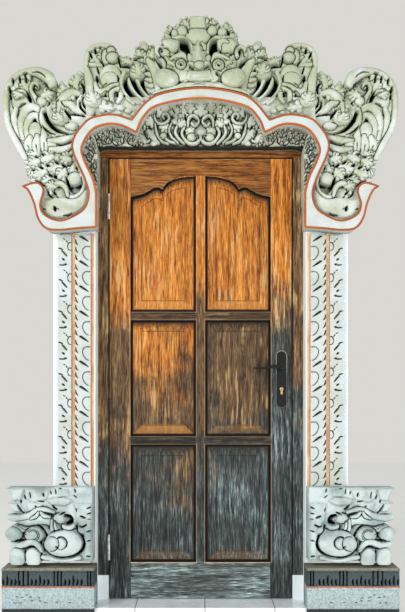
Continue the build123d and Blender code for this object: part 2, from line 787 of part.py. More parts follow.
def knob(x, z, depth, radius):
    """Ball half sunk in the carving, cut with flat facets: a drum that narrows, under a shallow cap."""
    for start, share, rise, taper in ((-1.0, 1.0, 1.5, 8), (0.5, 0.78, 0.4, 45)):
        with BuildSketch(front(depth + start * radius)) as ring:
            with Locations(placed(x, z)):
                RegularPolygon(share * radius, ball_sides)
        extrude(ring.sketch, amount=rise * radius, taper=taper)


# Pilaster: a plate on the wall face that carries the carved strips, with a lining into the doorway
pilaster_outer = outer_strip[1] + 20
tympanum_bottom = head_z + head_face - head_cover

with BuildPart() as pilaster_left:
    with BuildSketch(Plane.XZ):
        # The top runs behind nothing: it stops against the back of the band's hook
        with BuildLine():
            Polyline((-opening_half, mask_top), (-pilaster_outer, mask_top),
                     *placed_all((-pilaster_outer / spread, 1725), (-623, 1720), (-545, 1730), (-490, 1780),
                                 (-480, 1866), (-499, 1933), (-536, 2008), (-548, 2066)),
                     (-lining_outer, tympanum_bottom + 33), (-lining_outer, tympanum_bottom),
                     (-opening_half, tympanum_bottom), close=True)
        make_face()
        band_face(Mode.SUBTRACT)
    extrude(amount=pilaster_depth)
    for x0, x1 in (inner_fillet, outer_fillet):
        block(-x1, -x0, pilaster_depth + fillet_proud, pilaster_depth, mask_top, strip_top)
    block(-lining_outer, -opening_half, 0, frame_back, threshold_height, tympanum_bottom)
pilaster_right = mirrored(pilaster_left)

strip_face = pilaster_depth + strip_relief
strip_length = strip_top - mask_top

with BuildPart() as inner_strip_left:
    x0, x1 = -inner_strip[1], -inner_strip[0]
    width = x1 - x0
    block(x0, x1, strip_face, pilaster_depth, mask_top, strip_top)
    repeats = round(strip_length / inner_motif)
    pitch = strip_length / repeats
    with BuildSketch(front(strip_face)):
        for i in range(repeats):
            z = mask_top + (i + 0.5) * pitch
            # Each leaf curls round a C, over a crescent that parts it from the next one down
            stroke((x1 - 0.12 * width, z + 0.36 * pitch), (x0 + 0.5 * width, z + 0.14 * pitch),
                   (x1 - 0.2 * width, z - 0.16 * pitch), 5)
            stroke((x0 + 0.3 * width, z - 0.22 * pitch), (x0 + 0.55 * width, z - 0.27 * pitch),
                   (x1 - 0.16 * width, z - 0.42 * pitch), 8)
            for notch in range(3):
                top = z + (0.42 - 0.33 * notch) * pitch
                with Locations((x0, top)):
                    Polygon((2, 0), (16, -0.22 * pitch), (4, -0.15 * pitch))
    extrude(amount=-strip_relief * 0.7, mode=Mode.SUBTRACT)
inner_strip_right = mirrored(inner_strip_left)

with BuildPart() as outer_strip_left:
    x0, x1 = -outer_strip[1], -outer_strip[0]
    width = x1 - x0
    repeats = round(strip_length / outer_motif)
    pitch = strip_length / repeats
    tooth = pitch / 4
    with BuildSketch(front(pilaster_depth)):
        with BuildLine():
            # Jagged outer edge, four teeth to each leaf
            Polyline((x1, mask_top),
                     *[(x0 + (9 if i % 2 == 0 else 0), mask_top + i * tooth / 2)
                       for i in range(8 * repeats + 1)],
                     (x1, strip_top), close=True)
        make_face()
    extrude(amount=strip_relief * 0.8)
    with BuildSketch(front(pilaster_depth + strip_relief * 0.8)):
        for i in range(repeats):
            z = mask_top + (i + 0.5) * pitch
            stroke((x0 + 8, z + 0.3 * pitch), (x0 + 0.5 * width, z + 0.18 * pitch),
                   (x1 - 0.15 * width, z + 0.05 * pitch), 7)
            stroke((x1 - 4, z - 0.1 * pitch), (x1 - 0.4 * width, z - 0.2 * pitch),
                   (x1 - 5, z - 0.3 * pitch), 5)
            stroke((x0 + 8, z - 0.2 * pitch), (x0 + 0.35 * width, z - 0.24 * pitch),
                   (x0 + 0.55 * width, z - 0.2 * pitch), 6)
            with Locations((x0 + 0.5 * width, z - 0.04 * pitch)):
                RegularPolygon(4.5, 6)
    extrude(amount=-strip_relief * 0.5, mode=Mode.SUBTRACT)
outer_strip_right = mirrored(outer_strip_left)

# Plinth: a slab, a string course, a frieze of sunk panels and a cornice
slab_top = 103.0
string_top = 125.0
cornice_bottom = plinth_height - 16.0
moulding_proud = 6.0
frieze_panels = ((-876.0, -797.0), (-762.0, -651.0), (-615.0, -504.0))
joint_height = 4.0

with BuildPart() as plinth_left:
    block(-plinth_half, -lining_outer, plinth_depth, 0, 0, threshold_height - joint_height)
    block(-plinth_half, -lining_outer, plinth_depth - moulding_proud, 0,
          threshold_height - joint_height, threshold_height)
    block(-plinth_half, -plinth_inner, plinth_depth, 0, threshold_height, slab_top)
    block(-plinth_half, -plinth_inner, plinth_depth + moulding_proud, 0, slab_top, string_top)
    block(-plinth_half, -plinth_inner, plinth_depth - moulding_proud, 0, string_top, cornice_bottom)
    block(-plinth_half, -plinth_inner, plinth_depth + moulding_proud, 0, cornice_bottom, plinth_height)
    for x0, x1 in [(x0 * spread, x1 * spread) for x0, x1 in frieze_panels]:
        block(x0, x1, plinth_depth - moulding_proud, plinth_depth - 2 * moulding_proud,
              string_top + 5, cornice_bottom - 5, Mode.SUBTRACT)
        # Lotus petals hang in each panel, parted by notches
        with BuildSketch(front(plinth_depth - 2 * moulding_proud)):
            for i in range(4):
                with Locations((x0 + (i + 0.5) * (x1 - x0) / 4, string_top + 24)):
                    Polygon((-9, 12), (-9, -2), (0, -16), (9, -2), (9, 12))
        extrude(amount=moulding_proud)
plinth_right = mirrored(plinth_left)

# Foot mask: the head of a beast in profile, looking away from the doorway, on a sunk neck
mask_ground = 92.0

with BuildPart() as foot_mask_left:
    block(-840 * spread, -plinth_inner - 12, 70, 0, plinth_height, mask_bottom)
    with BuildSketch(Plane.XZ):
        with BuildLine():
            Polyline((-opening_half, mask_bottom), (-opening_half, mask_top), (-866 * spread, mask_top),
                     *placed_all((-828, 500), (-858, 486), (-828, 440), (-862, 427), (-850, 405),
                                 (-790, 392), (-866, 372), (-868, 335), (-838, 318), (-846, 300),
                                 (-820, 286), (-848, 268)),
                     (-848 * spread, mask_bottom), close=True)
        make_face()
    extrude(amount=mask_ground)
    # Volute of the jaw hinge, the teeth and the ringed eye
    with BuildSketch(front(mask_ground)):
        with Locations(placed(-609, 312)):
            oval(86, 64)
        for x in (-814, -745):
            with Locations(placed(x, 250)):
                Rectangle(64, 46)
            with Locations(placed(x, 268)):
                oval(32, 22)
    extrude(amount=38)
    with BuildSketch(front(mask_ground + 38)):
        chisel((-672, 322), (-610, 360), (-545, 318), 9)
        chisel((-552, 300), (-584, 266), (-640, 274), 9)
        chisel((-640, 330), (-600, 340), (-590, 310), 8)
    extrude(amount=-14, mode=Mode.SUBTRACT)
    with BuildSketch(front(mask_ground)):
        with Locations(placed(-733, 352)):
            oval(44, 32)
        # Lip, snout ridge and the feathers of the crown
        chisel((-842, 302), (-780, 314), (-692, 276), 16)
        chisel((-846, 424), (-760, 420), (-672, 372), 24)
        chisel((-846, 532), (-760, 505), (-640, 535), 22)
        chisel((-836, 478), (-750, 455), (-655, 490), 22)
        chisel((-640, 460), (-580, 480), (-545, 440), 18)
        leaf(-490, 248, 190, 34, 178)
        with Locations(placed(-489, 391)):
            Rectangle(24, 330)
    extrude(amount=18)
    with BuildSketch(front(mask_ground + 18)):
        with Locations(placed(-733, 352)):
            oval(29, 20)
    extrude(amount=12)
    with BuildSketch(front(mask_ground)):
        with Locations(placed(-586, 420)):
            oval(21, 26)
    extrude(amount=-40, mode=Mode.SUBTRACT)
    knob(-733, 352, mask_ground + 26, 13)
    knob(-838, 352, mask_ground + 6, 29)
    knob(-665, 307, mask_ground + 36, 26)
    knob(-618, 420, mask_ground + 4, 22)
foot_mask_right = mirrored(foot_mask_left)

# Tympanum: a carved stone set over the timber head, its face sunk behind the band
tympanum_top = band_crown + 12
relief_ground = -tympanum_setback

with BuildPart() as tympanum:
    block(-lining_outer, lining_outer, 0, leaf_front, tympanum_bottom, tympanum_top)
    with BuildSketch(Plane.XZ):
        with BuildLine():
            band_upper_line()
            Polyline(band_tip, (band_tip[0], mask_top), (0, mask_top), (0, band_crown))
        make_face()
        band_face(Mode.SUBTRACT)
        mirror(about=Plane.YZ)
    extrude(amount=relief_ground, mode=Mode.SUBTRACT)
    block(-opening_half, opening_half, relief_ground + 34, relief_ground, tympanum_bottom,
          tympanum_bottom + 14)
    with BuildSketch(front(relief_ground)):
        chisel((-132, 2204), (-100, 2146), (-42, 2142), 17)
        chisel((-96, 2212), (-78, 2170), (-44, 2166), 9)
        chisel((-232, 2190), (-200, 2146), (-150, 2142), 15)
        chisel((-190, 2232), (-165, 2262), (-138, 2236), 13)
        chisel((-120, 2240), (-80, 2266), (-48, 2240), 13)
        chisel((-280, 2150), (-262, 2172), (-240, 2150), 10)
        leaf(-4, 2214, 62, 30, 90)
        leaf(-12, 2214, 48, 24, 130)
        band_face(Mode.SUBTRACT)
        mirror(about=Plane.YZ)
    extrude(amount=26)
    for x in (-1, 1):
        knob(x * 20, 2152, relief_ground + 14, 17)
        knob(x * 70, 2228, relief_ground + 12, 18)
        knob(x * 164, 2232, relief_ground + 12, 20)
        knob(x * 172, 2166, relief_ground + 12, 20)

# Crest: leaves, lobes and long flutes that rise over the band on either side of the mask
crest_face = 66.0
mask_seam = 200.0 * spread
crown_room = 500.0
crest_high = 100.0

with BuildPart() as crest_left:
    with BuildSketch(Plane.XZ):
        with BuildLine():
            band_upper_line()
            Polyline(band_tip, *placed_all((-806, 1960), (-850, 2080), (-868, 2200), (-850, 2330),
                                           (-760, 2420), (-650, 2370), (-580, 2400), (-500, 2440),
                                           (-350, 2470), (0, 2470)), (0, band_crown))
        make_face()
        for x, z, rx, rz in ((-744, 2260, 138, 172), (-440, 2462, 86, 86)):
            with Locations(placed(x, z)):
                oval(rx, rz)
        for x, z, length, width, angle in (
                (-790, 2040, 46, 40, 200), (-770, 1990, 50, 36, 205), (-745, 1950, 46, 34, 215),
                (-620, 2320, 70, 40, 100), (-590, 2360, 66, 40, 75), (-545, 2370, 70, 44, 100),
                (-350, 2440, 60, 50, 60), (-300, 2440, 110, 44, 100), (-265, 2450, 120, 40, 88),
                (-230, 2450, 96, 40, 80)):
            leaf(x, z, length, width, angle)
        band_face(Mode.SUBTRACT)
        with Locations((-mask_seam / 2, band_crown)):
            Rectangle(mask_seam, 2 * crown_room, mode=Mode.SUBTRACT)
    extrude(amount=crest_face)
    # Rims of the two lobes, hollow inside
    with BuildSketch(front(crest_face)):
        with Locations(placed(-744, 2260)):
            oval(134, 168)
            oval(100, 134, mode=Mode.SUBTRACT)
        with Locations(placed(-440, 2462)):
            oval(83, 83)
            oval(58, 58, mode=Mode.SUBTRACT)
        # Nested bulbs, each in its own arch
        for x, z, rx, rz in ((-748, 2190, 44, 66), (-404, 2378, 50, 44), (-600, 1816, 74, 34),
                             (-620, 1900, 30, 36)):
            with Locations(placed(x, z)):
                oval(rx, rz)
        # Long flutes that swing down to the band, the scrolls and the fingers beside it
        chisel((-702, 2226), (-668, 2150), (-566, 2130), 15)
        chisel((-664, 2250), (-640, 2170), (-568, 2168), 13)
        chisel((-540, 2290), (-516, 2236), (-462, 2222), 15)
        chisel((-470, 2330), (-420, 2290), (-360, 2310), 16)
        chisel((-346, 2390), (-326, 2320), (-268, 2290), 15)
        chisel((-314, 2400), (-292, 2340), (-240, 2312), 14)
        chisel((-640, 2098), (-610, 2112), (-584, 2106), 16)
        chisel((-640, 2062), (-612, 2076), (-590, 2070), 16)
        chisel((-628, 2022), (-604, 2034), (-582, 2030), 14)
        chisel((-640, 1990), (-590, 1990), (-560, 1960), 18)
        leaf(-232, 2330, 150, 52, 92)
        leaf(-760, 2060, 90, 50, 250)
        leaf(-700, 2020, 110, 60, 262)
    extrude(amount=crest_high - crest_face)
    with BuildSketch(front(crest_high)):
        for x, z, rx, rz in ((-748, 2182, 26, 40), (-404, 2374, 28, 24)):
            with Locations(placed(x, z)):
                oval(rx, rz)
    extrude(amount=14)
    knob(-736, 2338, crest_face + 16, 30)
    knob(-637, 2208, crest_face + 16, 36)
    knob(-499, 2280, crest_face + 16, 31)
    knob(-285, 2404, crest_face + 16, 34)
    knob(-402, 2476, crest_face + 10, 28)
    knob(-560, 1926, crest_face + 12, 24)
    # Dark hollow of the big lobe, and the eye in the hook's pad
    with BuildSketch(front(crest_high)):
        chisel((-812, 2300), (-806, 2250), (-766, 2270), 20)
        with Locations(placed(-634, 1812)):
            oval(12, 12)
    extrude(amount=-60, mode=Mode.SUBTRACT)
crest_right = mirrored(crest_left)

# Mask over the middle of the arch: crown, brow, nose, eyes, cheeks and upper lip
face_ground = 96.0
crown_z = 2490.0 + head_lift
crown_top = crown_z + crown_height
nose_height = 62.0

with BuildPart() as crest_mask:
    with BuildSketch(Plane.XZ):
        with BuildLine():
            band_upper_line()
            Polyline(band_tip, (band_tip[0], crown_z), (0, crown_z), (0, band_crown))
        make_face()
        with Locations((-mask_seam / 2, band_crown)):
            Rectangle(mask_seam, 2 * crown_room, mode=Mode.INTERSECT)
        with Locations((0, crown_z)):
            oval(178, 140)
        with Locations((0, (crown_z + crown_top) / 2)):
            Rectangle(62, crown_top - crown_z)
        for angle in (112, 132, 154, 174):
            leaf(150 * cos(radians(angle)), crown_z + 110 * sin(radians(angle)), 52, 40, angle)
        mirror(about=Plane.YZ)
        band_face(Mode.SUBTRACT)
        with BuildLine() as below:
            band_upper_line()
            Polyline(band_tip, (band_tip[0], mask_top), (0, mask_top), (0, band_crown))
        make_face(below.edges(), mode=Mode.SUBTRACT)
    extrude(amount=face_ground)
    with BuildSketch(front(face_ground)):
        # Cheeks, lip plate, eye rings and brow bulbs
        for x in (-144, 144):
            with Locations(placed(x, 2352)):
                oval(48, 38)
        with Locations(placed(-3, 2376)):
            Rectangle(122, 40)
        for x in (-86, 82):
            with Locations(placed(x, 2416)):
                oval(24, 24)
        for x in (-128, 124):
            with Locations(placed(x, 2494)):
                oval(38, 24)
        with Locations(placed(0, 2532)):
            oval(66, 58)
        for x in (-1, 1):
            chisel((x * 66, 2560), (x * 96, 2590), (x * 130, 2560), 26)
    extrude(amount=26)
    for ridge in (((-46, 2396), (40, 2396), (30, 2436), (-36, 2436)),
                  ((-30, 2410), (24, 2410), (14, 2548), (-18, 2548))):
        with BuildSketch(front(face_ground - 8)) as nose:
            Polygon(*placed_all(*ridge))
        extrude(nose.sketch, amount=nose_height + 8, taper=9)
    # Dark hollows beside the nose, nostrils and pupils
    with BuildSketch(front(face_ground + 26)):
        for x in (-1, 1):
            chisel((x * 86, 2530), (x * 60, 2500), (x * 56, 2460), 30)
    extrude(amount=-70, mode=Mode.SUBTRACT)
    knob(-40, 2410, face_ground + 20, 16)
    knob(36, 2410, face_ground + 20, 16)
    for x in (-86, 82):
        knob(x, 2416, face_ground + 24, 13)

parts = {
    "hinge_stile": hinge_stile,
    "lock_stile": lock_stile,
    "top_rail": top_rail,
    "bottom_rail": bottom_rail,
    "muntin": muntin,
    "cross_rail_lower_left": cross_rail_lower_left,
    "cross_rail_lower_right": cross_rail_lower_right,
    "cross_rail_upper_left": cross_rail_upper_left,
    "cross_rail_upper_right": cross_rail_upper_right,
    "panel_lower_left": panel_lower_left,
    "panel_lower_right": panel_lower_right,
    "panel_middle_left": panel_middle_left,
    "panel_middle_right": panel_middle_right,
    "panel_upper_left": panel_upper_left,
    "panel_upper_right": panel_upper_right,
    **hinge_nodes,
    "leaf_screws": leaf_screws,
    "frame_screws": frame_screws,
    "lock_case": lock_case,
    "lock_faceplate": lock_faceplate,
    "latch_bolt": latch_bolt,
    "dead_bolt": dead_bolt,
    "escutcheon_front": escutcheon_front,
    "escutcheon_back": escutcheon_back,
    "plate_screws": plate_screws,
    "lever_front": lever_front,
    "lever_back": lever_back,
    "spindle": spindle,
    "lock_cylinder": lock_cylinder,
    "cylinder_plug": cylinder_plug,
    "jamb_left": jamb_left,
    "jamb_right": jamb_right,
    "frame_head": frame_head,
    "strike_plate": strike_plate,
    "base_block_left": base_block_left,
    "base_block_right": base_block_right,
    "threshold": threshold,
    "pilaster_left": pilaster_left,
    "pilaster_right": pilaster_right,
    "inner_strip_left": inner_strip_left,
    "inner_strip_right": inner_strip_right,
    "outer_strip_left": outer_strip_left,
    "outer_strip_right": outer_strip_right,
    "foot_mask_left": foot_mask_left,
    "foot_mask_right": foot_mask_right,
    "plinth_left": plinth_left,
    "plinth_right": plinth_right,
    "band_left": band_left,
    "band_centre": band_centre,
    "band_right": band_right,
    "tympanum": tympanum,
    "crest_left": crest_left,
    "crest_right": crest_right,
    "crest_mask": crest_mask,
}

os.makedirs("parts", exist_ok=True)
for name, piece in parts.items():
    piece.part.label = name
    export_step(piece.part, f"parts/{name}.step")
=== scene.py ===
import json
import math

import bmesh
import bpy
import numpy as np
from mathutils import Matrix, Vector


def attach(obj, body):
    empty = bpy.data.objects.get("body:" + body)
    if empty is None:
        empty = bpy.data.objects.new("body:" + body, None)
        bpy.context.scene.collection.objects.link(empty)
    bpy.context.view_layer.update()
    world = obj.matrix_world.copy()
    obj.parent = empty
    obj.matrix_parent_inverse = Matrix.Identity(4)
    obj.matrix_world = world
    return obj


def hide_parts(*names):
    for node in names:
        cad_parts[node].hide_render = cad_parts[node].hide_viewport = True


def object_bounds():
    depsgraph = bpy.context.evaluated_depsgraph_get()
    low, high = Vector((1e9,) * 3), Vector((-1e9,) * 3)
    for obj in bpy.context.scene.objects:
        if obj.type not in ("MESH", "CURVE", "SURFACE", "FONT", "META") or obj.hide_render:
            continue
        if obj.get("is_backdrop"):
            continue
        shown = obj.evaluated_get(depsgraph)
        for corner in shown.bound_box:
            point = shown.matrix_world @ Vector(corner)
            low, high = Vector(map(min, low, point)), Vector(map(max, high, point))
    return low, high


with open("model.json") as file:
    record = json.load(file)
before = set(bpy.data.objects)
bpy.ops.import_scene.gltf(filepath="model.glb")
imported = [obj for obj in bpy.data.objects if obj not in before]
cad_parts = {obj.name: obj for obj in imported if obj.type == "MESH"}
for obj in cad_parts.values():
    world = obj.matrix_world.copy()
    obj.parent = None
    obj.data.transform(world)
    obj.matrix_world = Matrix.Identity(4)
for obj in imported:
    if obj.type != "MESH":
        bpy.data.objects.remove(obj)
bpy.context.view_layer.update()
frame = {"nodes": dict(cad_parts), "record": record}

# Studio: a pale floor that runs into a backdrop of the same colour, one broad soft lamp high on the
# left, where the daylight comes from, and a weaker one on the right. The camera stands square to the
# door, four metres from the leaf and at chest height.
scene = bpy.context.scene
scene.view_settings.view_transform = "Standard"


def linear(colour):
    """An sRGB hex colour as Blender's linear one."""
    parts = [int(colour[i:i + 2], 16) / 255 for i in (1, 3, 5)]
    return (*[c / 12.92 if c <= 0.04045 else ((c + 0.055) / 1.055) ** 2.4 for c in parts], 1.0)


def add(tree, kind, links=None, stops=None, **settings):
    """Adds a node. A link's value is a plain value, a socket, or a node whose first output is meant."""
    node = tree.nodes.new(kind)
    for name, value in settings.items():
        setattr(node, name, value)
    if stops:
        elements = node.color_ramp.elements
        elements[0].position, elements[1].position = stops[0][0], stops[-1][0]
        for place, _ in stops[1:-1]:
            elements.new(place)
        for element, (_, colour) in zip(elements, stops):
            element.color = linear(colour) if isinstance(colour, str) else (colour, colour, colour, 1.0)
    for name, value in (links or {}).items():
        socket = [s for s in node.inputs if s.enabled and name in (s.name, s.identifier)][0]
        if isinstance(value, bpy.types.Node):
            value = [s for s in value.outputs if s.enabled][0]
        if isinstance(value, bpy.types.NodeSocket):
            tree.links.new(value, socket)
        else:
            socket.default_value = value
    return node


def calc(tree, operation, *values):
    """A Math node's result."""
    names = ("Value", "Value_001", "Value_002")
    return add(tree, "ShaderNodeMath", dict(zip(names, values)), operation=operation).outputs[0]


def fade(tree, value, start, end, low=0.0, high=1.0, course="SMOOTHSTEP"):
    """A run from low to high as a value goes from start to end."""
    return add(tree, "ShaderNodeMapRange", {"Value": value, "From Min": start, "From Max": end,
                                            "To Min": low, "To Max": high},
               interpolation_type=course).outputs[0]


def blended(tree, factor, first, second, mode="MIX"):
    """Two colours mixed."""
    node = add(tree, "ShaderNodeMix", {"Factor": factor, "A": first, "B": second}, data_type="RGBA",
               blend_type=mode)
    return [s for s in node.outputs if s.enabled][0]


backdrop_colour = linear("#d9d7d2")
world = bpy.data.worlds.new("studio")
world.use_nodes = True
scene.world = world
tree = world.node_tree
rays = add(tree, "ShaderNodeLightPath")
seen = add(tree, "ShaderNodeMath", {"Value": rays.outputs["Is Camera Ray"],
                                    "Value_001": rays.outputs["Is Glossy Ray"]},
           operation="MAXIMUM", use_clamp=True)
daylight = add(tree, "ShaderNodeBackground", {"Color": linear("#eef2f6"), "Strength": 0.46})
backdrop = add(tree, "ShaderNodeBackground", {"Color": backdrop_colour, "Strength": 1.0})
both = add(tree, "ShaderNodeMixShader", {"Fac": seen, "Shader": daylight, "Shader_001": backdrop})
tree.links.new(both.outputs[0], tree.nodes["World Output"].inputs["Surface"])

floor_mesh = bpy.data.meshes.new("studio_floor")
floor_mesh.from_pydata([(-9, -7, 0), (9, -7, 0), (9, 9, 0), (-9, 9, 0)], [], [(0, 1, 2, 3)])
studio_floor = bpy.data.objects.new("studio_floor", floor_mesh)
scene.collection.objects.link(studio_floor)
floor_paper = bpy.data.materials.new("backdrop_paper")
floor_paper.use_nodes = True
paper = floor_paper.node_tree.nodes["Principled BSDF"]
paper.inputs["Base Color"].default_value = linear("#e6e4df")
paper.inputs["Roughness"].default_value = 0.9
# The paper is lit from below as well, so that it is as bright as the backdrop
paper.inputs["Emission Color"].default_value = backdrop_colour
paper.inputs["Emission Strength"].default_value = 0.42
floor_mesh.materials.append(floor_paper)
studio_floor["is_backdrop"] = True

for name, place, aim, side, watts in (("key", (-4.2, -5.6, 3.6), (0.0, 0.0, 1.2), 2.6, 335),
                                      ("fill", (3.0, -4.6, 1.0), (0.0, 0.0, 0.6), 3.0, 150)):
    lamp = bpy.data.objects.new(name, bpy.data.lights.new(name, "AREA"))
    lamp.data.size = side
    lamp.data.energy = watts
    lamp.location = place
    reach = Vector(aim) - Vector(place)
    lamp.rotation_euler = reach.to_track_quat("-Z", "Y").to_euler()
    scene.collection.objects.link(lamp)

# The eye's distance from the wall face and its height, in millimetres
eye_distance, eye_height = 3930, 945
picture_width, picture_height = 405, 612
focal_pixels = 860
horizon_row = 400
middle_column = 200.6
camera = bpy.data.objects.new("camera", bpy.data.cameras.new("camera"))
camera.data.sensor_fit = "HORIZONTAL"
camera.data.sensor_width = 36.0
camera.data.lens = 36.0 * focal_pixels / picture_width
camera.data.shift_x = (picture_width / 2 - middle_column) / picture_width
camera.data.shift_y = (horizon_row - picture_height / 2) / picture_width
camera.location = (0.0, -eye_distance / 1000, eye_height / 1000)
camera.rotation_euler = (math.radians(90), 0, 0)
scene.collection.objects.link(camera)
scene.camera = camera
bpy.context.view_layer.update()

# Timber of the leaf and its frame: an oiled tropical hardwood, sawn, planed and framed up with the
# grain along each board. Sun and rain have bleached it in streaks, the splash of rain has turned the
# lower third silver grey and black, and shade is painted dark into the grooves and corners round the
# panels and into the gap round the leaf, with painted highlights on the lower bevels and the beads.
stile_edge, muntin_edge = 0.325, 0.0225
panel_openings = ((0.192, 0.736), (0.778, 1.315), (1.357, 1.888))
arch_height = 0.099
leaf_edge, leaf_top, head_joint = 0.426, 2.069, 2.0695
# The cusped arch's height, from its shoulder to its crown, against the distance from the muntin
arch_line = ((0.0, 1.0), (0.15, 0.985), (0.25, 0.93), (0.36, 0.83), (0.44, 0.67), (0.49, 0.5),
             (0.512, 0.35), (0.56, 0.44), (0.61, 0.46), (0.66, 0.42), (0.715, 0.3), (0.79, 0.17),
             (0.86, 0.1), (1.0, 0.0))


def surface(name):
    """A new material, its tree, its shader and the socket for a place on the door in metres."""
    made = bpy.data.materials.new(name)
    made.use_nodes = True
    tree = made.node_tree
    return made, tree, tree.nodes["Principled BSDF"], add(tree, "ShaderNodeTexCoord").outputs["Object"]


def noise(tree, place, scale, detail, roughness=0.5, distortion=0.0):
    """Random cloudiness from 0 to 1, with about so many clouds to the metre."""
    return add(tree, "ShaderNodeTexNoise", {"Vector": place, "Scale": scale, "Detail": detail,
                                            "Roughness": roughness, "Distortion": distortion}).outputs[0]


def bump(tree, shader, height, strength, distance, under=None):
    """Fine relief in the shading, so many metres deep, over the relief under it."""
    relief = add(tree, "ShaderNodeBump", {"Height": height, "Strength": strength, "Distance": distance})
    if under:
        tree.links.new(under.outputs[0], relief.inputs["Normal"])
    tree.links.new(relief.outputs[0], shader.inputs["Normal"])
    return relief


def timber(name, grain):
    """Weathered hardwood with its grain along X or Z. Each board's own attributes move its grain (board)
    and shift its weathering (tone)."""
    wood, tree, shader, place = surface(name)
    spot = add(tree, "ShaderNodeSeparateXYZ", {"Vector": place})
    height = spot.outputs["Z"]
    board_number = add(tree, "ShaderNodeAttribute", attribute_name="board")
    tone = add(tree, "ShaderNodeSeparateXYZ",
               {"Vector": add(tree, "ShaderNodeAttribute", attribute_name="tone").outputs["Vector"]})
    shifted = add(tree, "ShaderNodeVectorMath",
                  {"Vector": place, "Vector_001": board_number.outputs["Vector"]}, operation="ADD")
    along = (0.07, 1.0, 1.0) if grain == "X" else (1.0, 1.0, 0.07)
    fibres = add(tree, "ShaderNodeMapping", {"Vector": shifted, "Scale": along})
    # Fibres about 5 mm apart are drawn, because the real pores are too fine to show
    fine = noise(tree, fibres, 230.0, 3.0, 0.7)
    broad = noise(tree, fibres, 42.0, 3.0, 0.6, 1.4)
    cloud = noise(tree, shifted, 4.2, 4.0, 0.65)
    figure = calc(tree, "MULTIPLY_ADD", broad, 0.36, calc(tree, "MULTIPLY", fine, 0.64))
    warm = add(tree, "ShaderNodeValToRGB", {"Fac": figure},
               stops=((0.38, "#482308"), (0.45, "#8c4e12"), (0.51, "#b3691e"), (0.58, "#c98636"),
                      (0.67, "#deac60")))
    brown = add(tree, "ShaderNodeValToRGB", {"Fac": figure},
                stops=((0.38, "#1c140c"), (0.45, "#44301d"), (0.52, "#634a30"), (0.59, "#806341"),
                       (0.67, "#a2855a")))
    grey = add(tree, "ShaderNodeValToRGB", {"Fac": figure},
               stops=((0.38, "#0e1111"), (0.45, "#262c2b"), (0.52, "#465150"), (0.59, "#6d7a79"),
                      (0.67, "#a2b0af")))
    worn = calc(tree, "MULTIPLY_ADD", calc(tree, "SUBTRACT", cloud, 0.5), 1.1, height)
    browned = calc(tree, "SUBTRACT", worn, tone.outputs["X"])
    greyed = calc(tree, "SUBTRACT", worn, tone.outputs["Y"])
    colour = blended(tree, fade(tree, browned, 1.18, 1.46, 1.0, 0.0), warm, brown)
    # Rain has washed pale streaks down the sound timber
    streak = noise(tree, fibres, 75.0, 2.0)
    bleached = calc(tree, "MULTIPLY", fade(tree, streak, 0.54, 0.64),
                    fade(tree, cloud, 0.45, 0.62, 0.0, 0.55))
    colour = blended(tree, bleached, colour, linear("#d3b07a"))
    colour = blended(tree, fade(tree, greyed, 0.46, 0.86, 1.0, 0.0), colour, grey)
    damp = calc(tree, "MULTIPLY", fade(tree, greyed, 0.95, 0.6), fade(tree, cloud, 0.62, 0.44))
    colour = blended(tree, calc(tree, "MULTIPLY", damp, 0.55), colour, linear("#1b1814"))
    # How far a point is outside the panel openings; it is negative within them
    aside = calc(tree, "ABSOLUTE", spot.outputs["X"])
    across = calc(tree, "MAXIMUM", calc(tree, "SUBTRACT", muntin_edge, aside),
                  calc(tree, "SUBTRACT", aside, stile_edge))
    run = calc(tree, "DIVIDE", calc(tree, "SUBTRACT", aside, muntin_edge), stile_edge - muntin_edge)
    arch = add(tree, "ShaderNodeValToRGB", {"Fac": run}, stops=arch_line)
    bottoms = [calc(tree, "SUBTRACT", low, height) for low, _ in panel_openings]
    tops = [calc(tree, "SUBTRACT", height, high) for _, high in panel_openings]
    tops[2] = calc(tree, "MULTIPLY_ADD", arch.outputs[0], -arch_height, tops[2])
    gaps = [calc(tree, "MAXIMUM", low, high) for low, high in zip(bottoms, tops)]
    beyond = calc(tree, "MAXIMUM", across, calc(tree, "MINIMUM", gaps[0], calc(tree, "MINIMUM", *gaps[1:])))
    rough_edge = calc(tree, "MULTIPLY_ADD", calc(tree, "SUBTRACT", fine, 0.5), 0.012, beyond)
    # A golden painted highlight lies on the lower bevels, which face up to the light, and painted shade
    # under each rail
    for low, high in zip(bottoms, tops):
        ledge_highlight = calc(tree, "MULTIPLY", fade(tree, low, -0.056, -0.05),
                     fade(tree, low, -0.012, -0.006, 1.0, 0.0))
        ledge_highlight = calc(tree, "MULTIPLY", ledge_highlight, fade(tree, calc(tree, "SUBTRACT", low, across), 0.0, 0.003,
                                                   0.0, 0.4))
        ledge_highlight = calc(tree, "MULTIPLY", ledge_highlight, fade(tree, greyed, 0.5, 0.9, 0.25, 1.0))
        colour = blended(tree, ledge_highlight, colour, linear("#c88a41"))
        shade = calc(tree, "MULTIPLY", fade(tree, high, -0.045, -0.008, 0.0, 0.8),
                     calc(tree, "LESS_THAN", calc(tree, "MAXIMUM", high, beyond), 0.0))
        colour = blended(tree, shade, colour, linear("#241a12"))
    # Painted shade, black with a ragged edge, in the groove round each panel
    groove = calc(tree, "MULTIPLY", fade(tree, rough_edge, -0.014, -0.007),
                  fade(tree, beyond, 0.0005, 0.002, 1.0, 0.0))
    field = fade(tree, calc(tree, "ABSOLUTE", calc(tree, "ADD", beyond, 0.05)), 0.001, 0.004, 0.55, 0.0)
    # A painted highlight along the bead at the edge of the stiles and rails
    bead = calc(tree, "MULTIPLY", fade(tree, beyond, 0.002, 0.0032),
                fade(tree, beyond, 0.0045, 0.006, 0.35, 0.0))
    colour = blended(tree, bead, colour, linear("#d9ab74"))
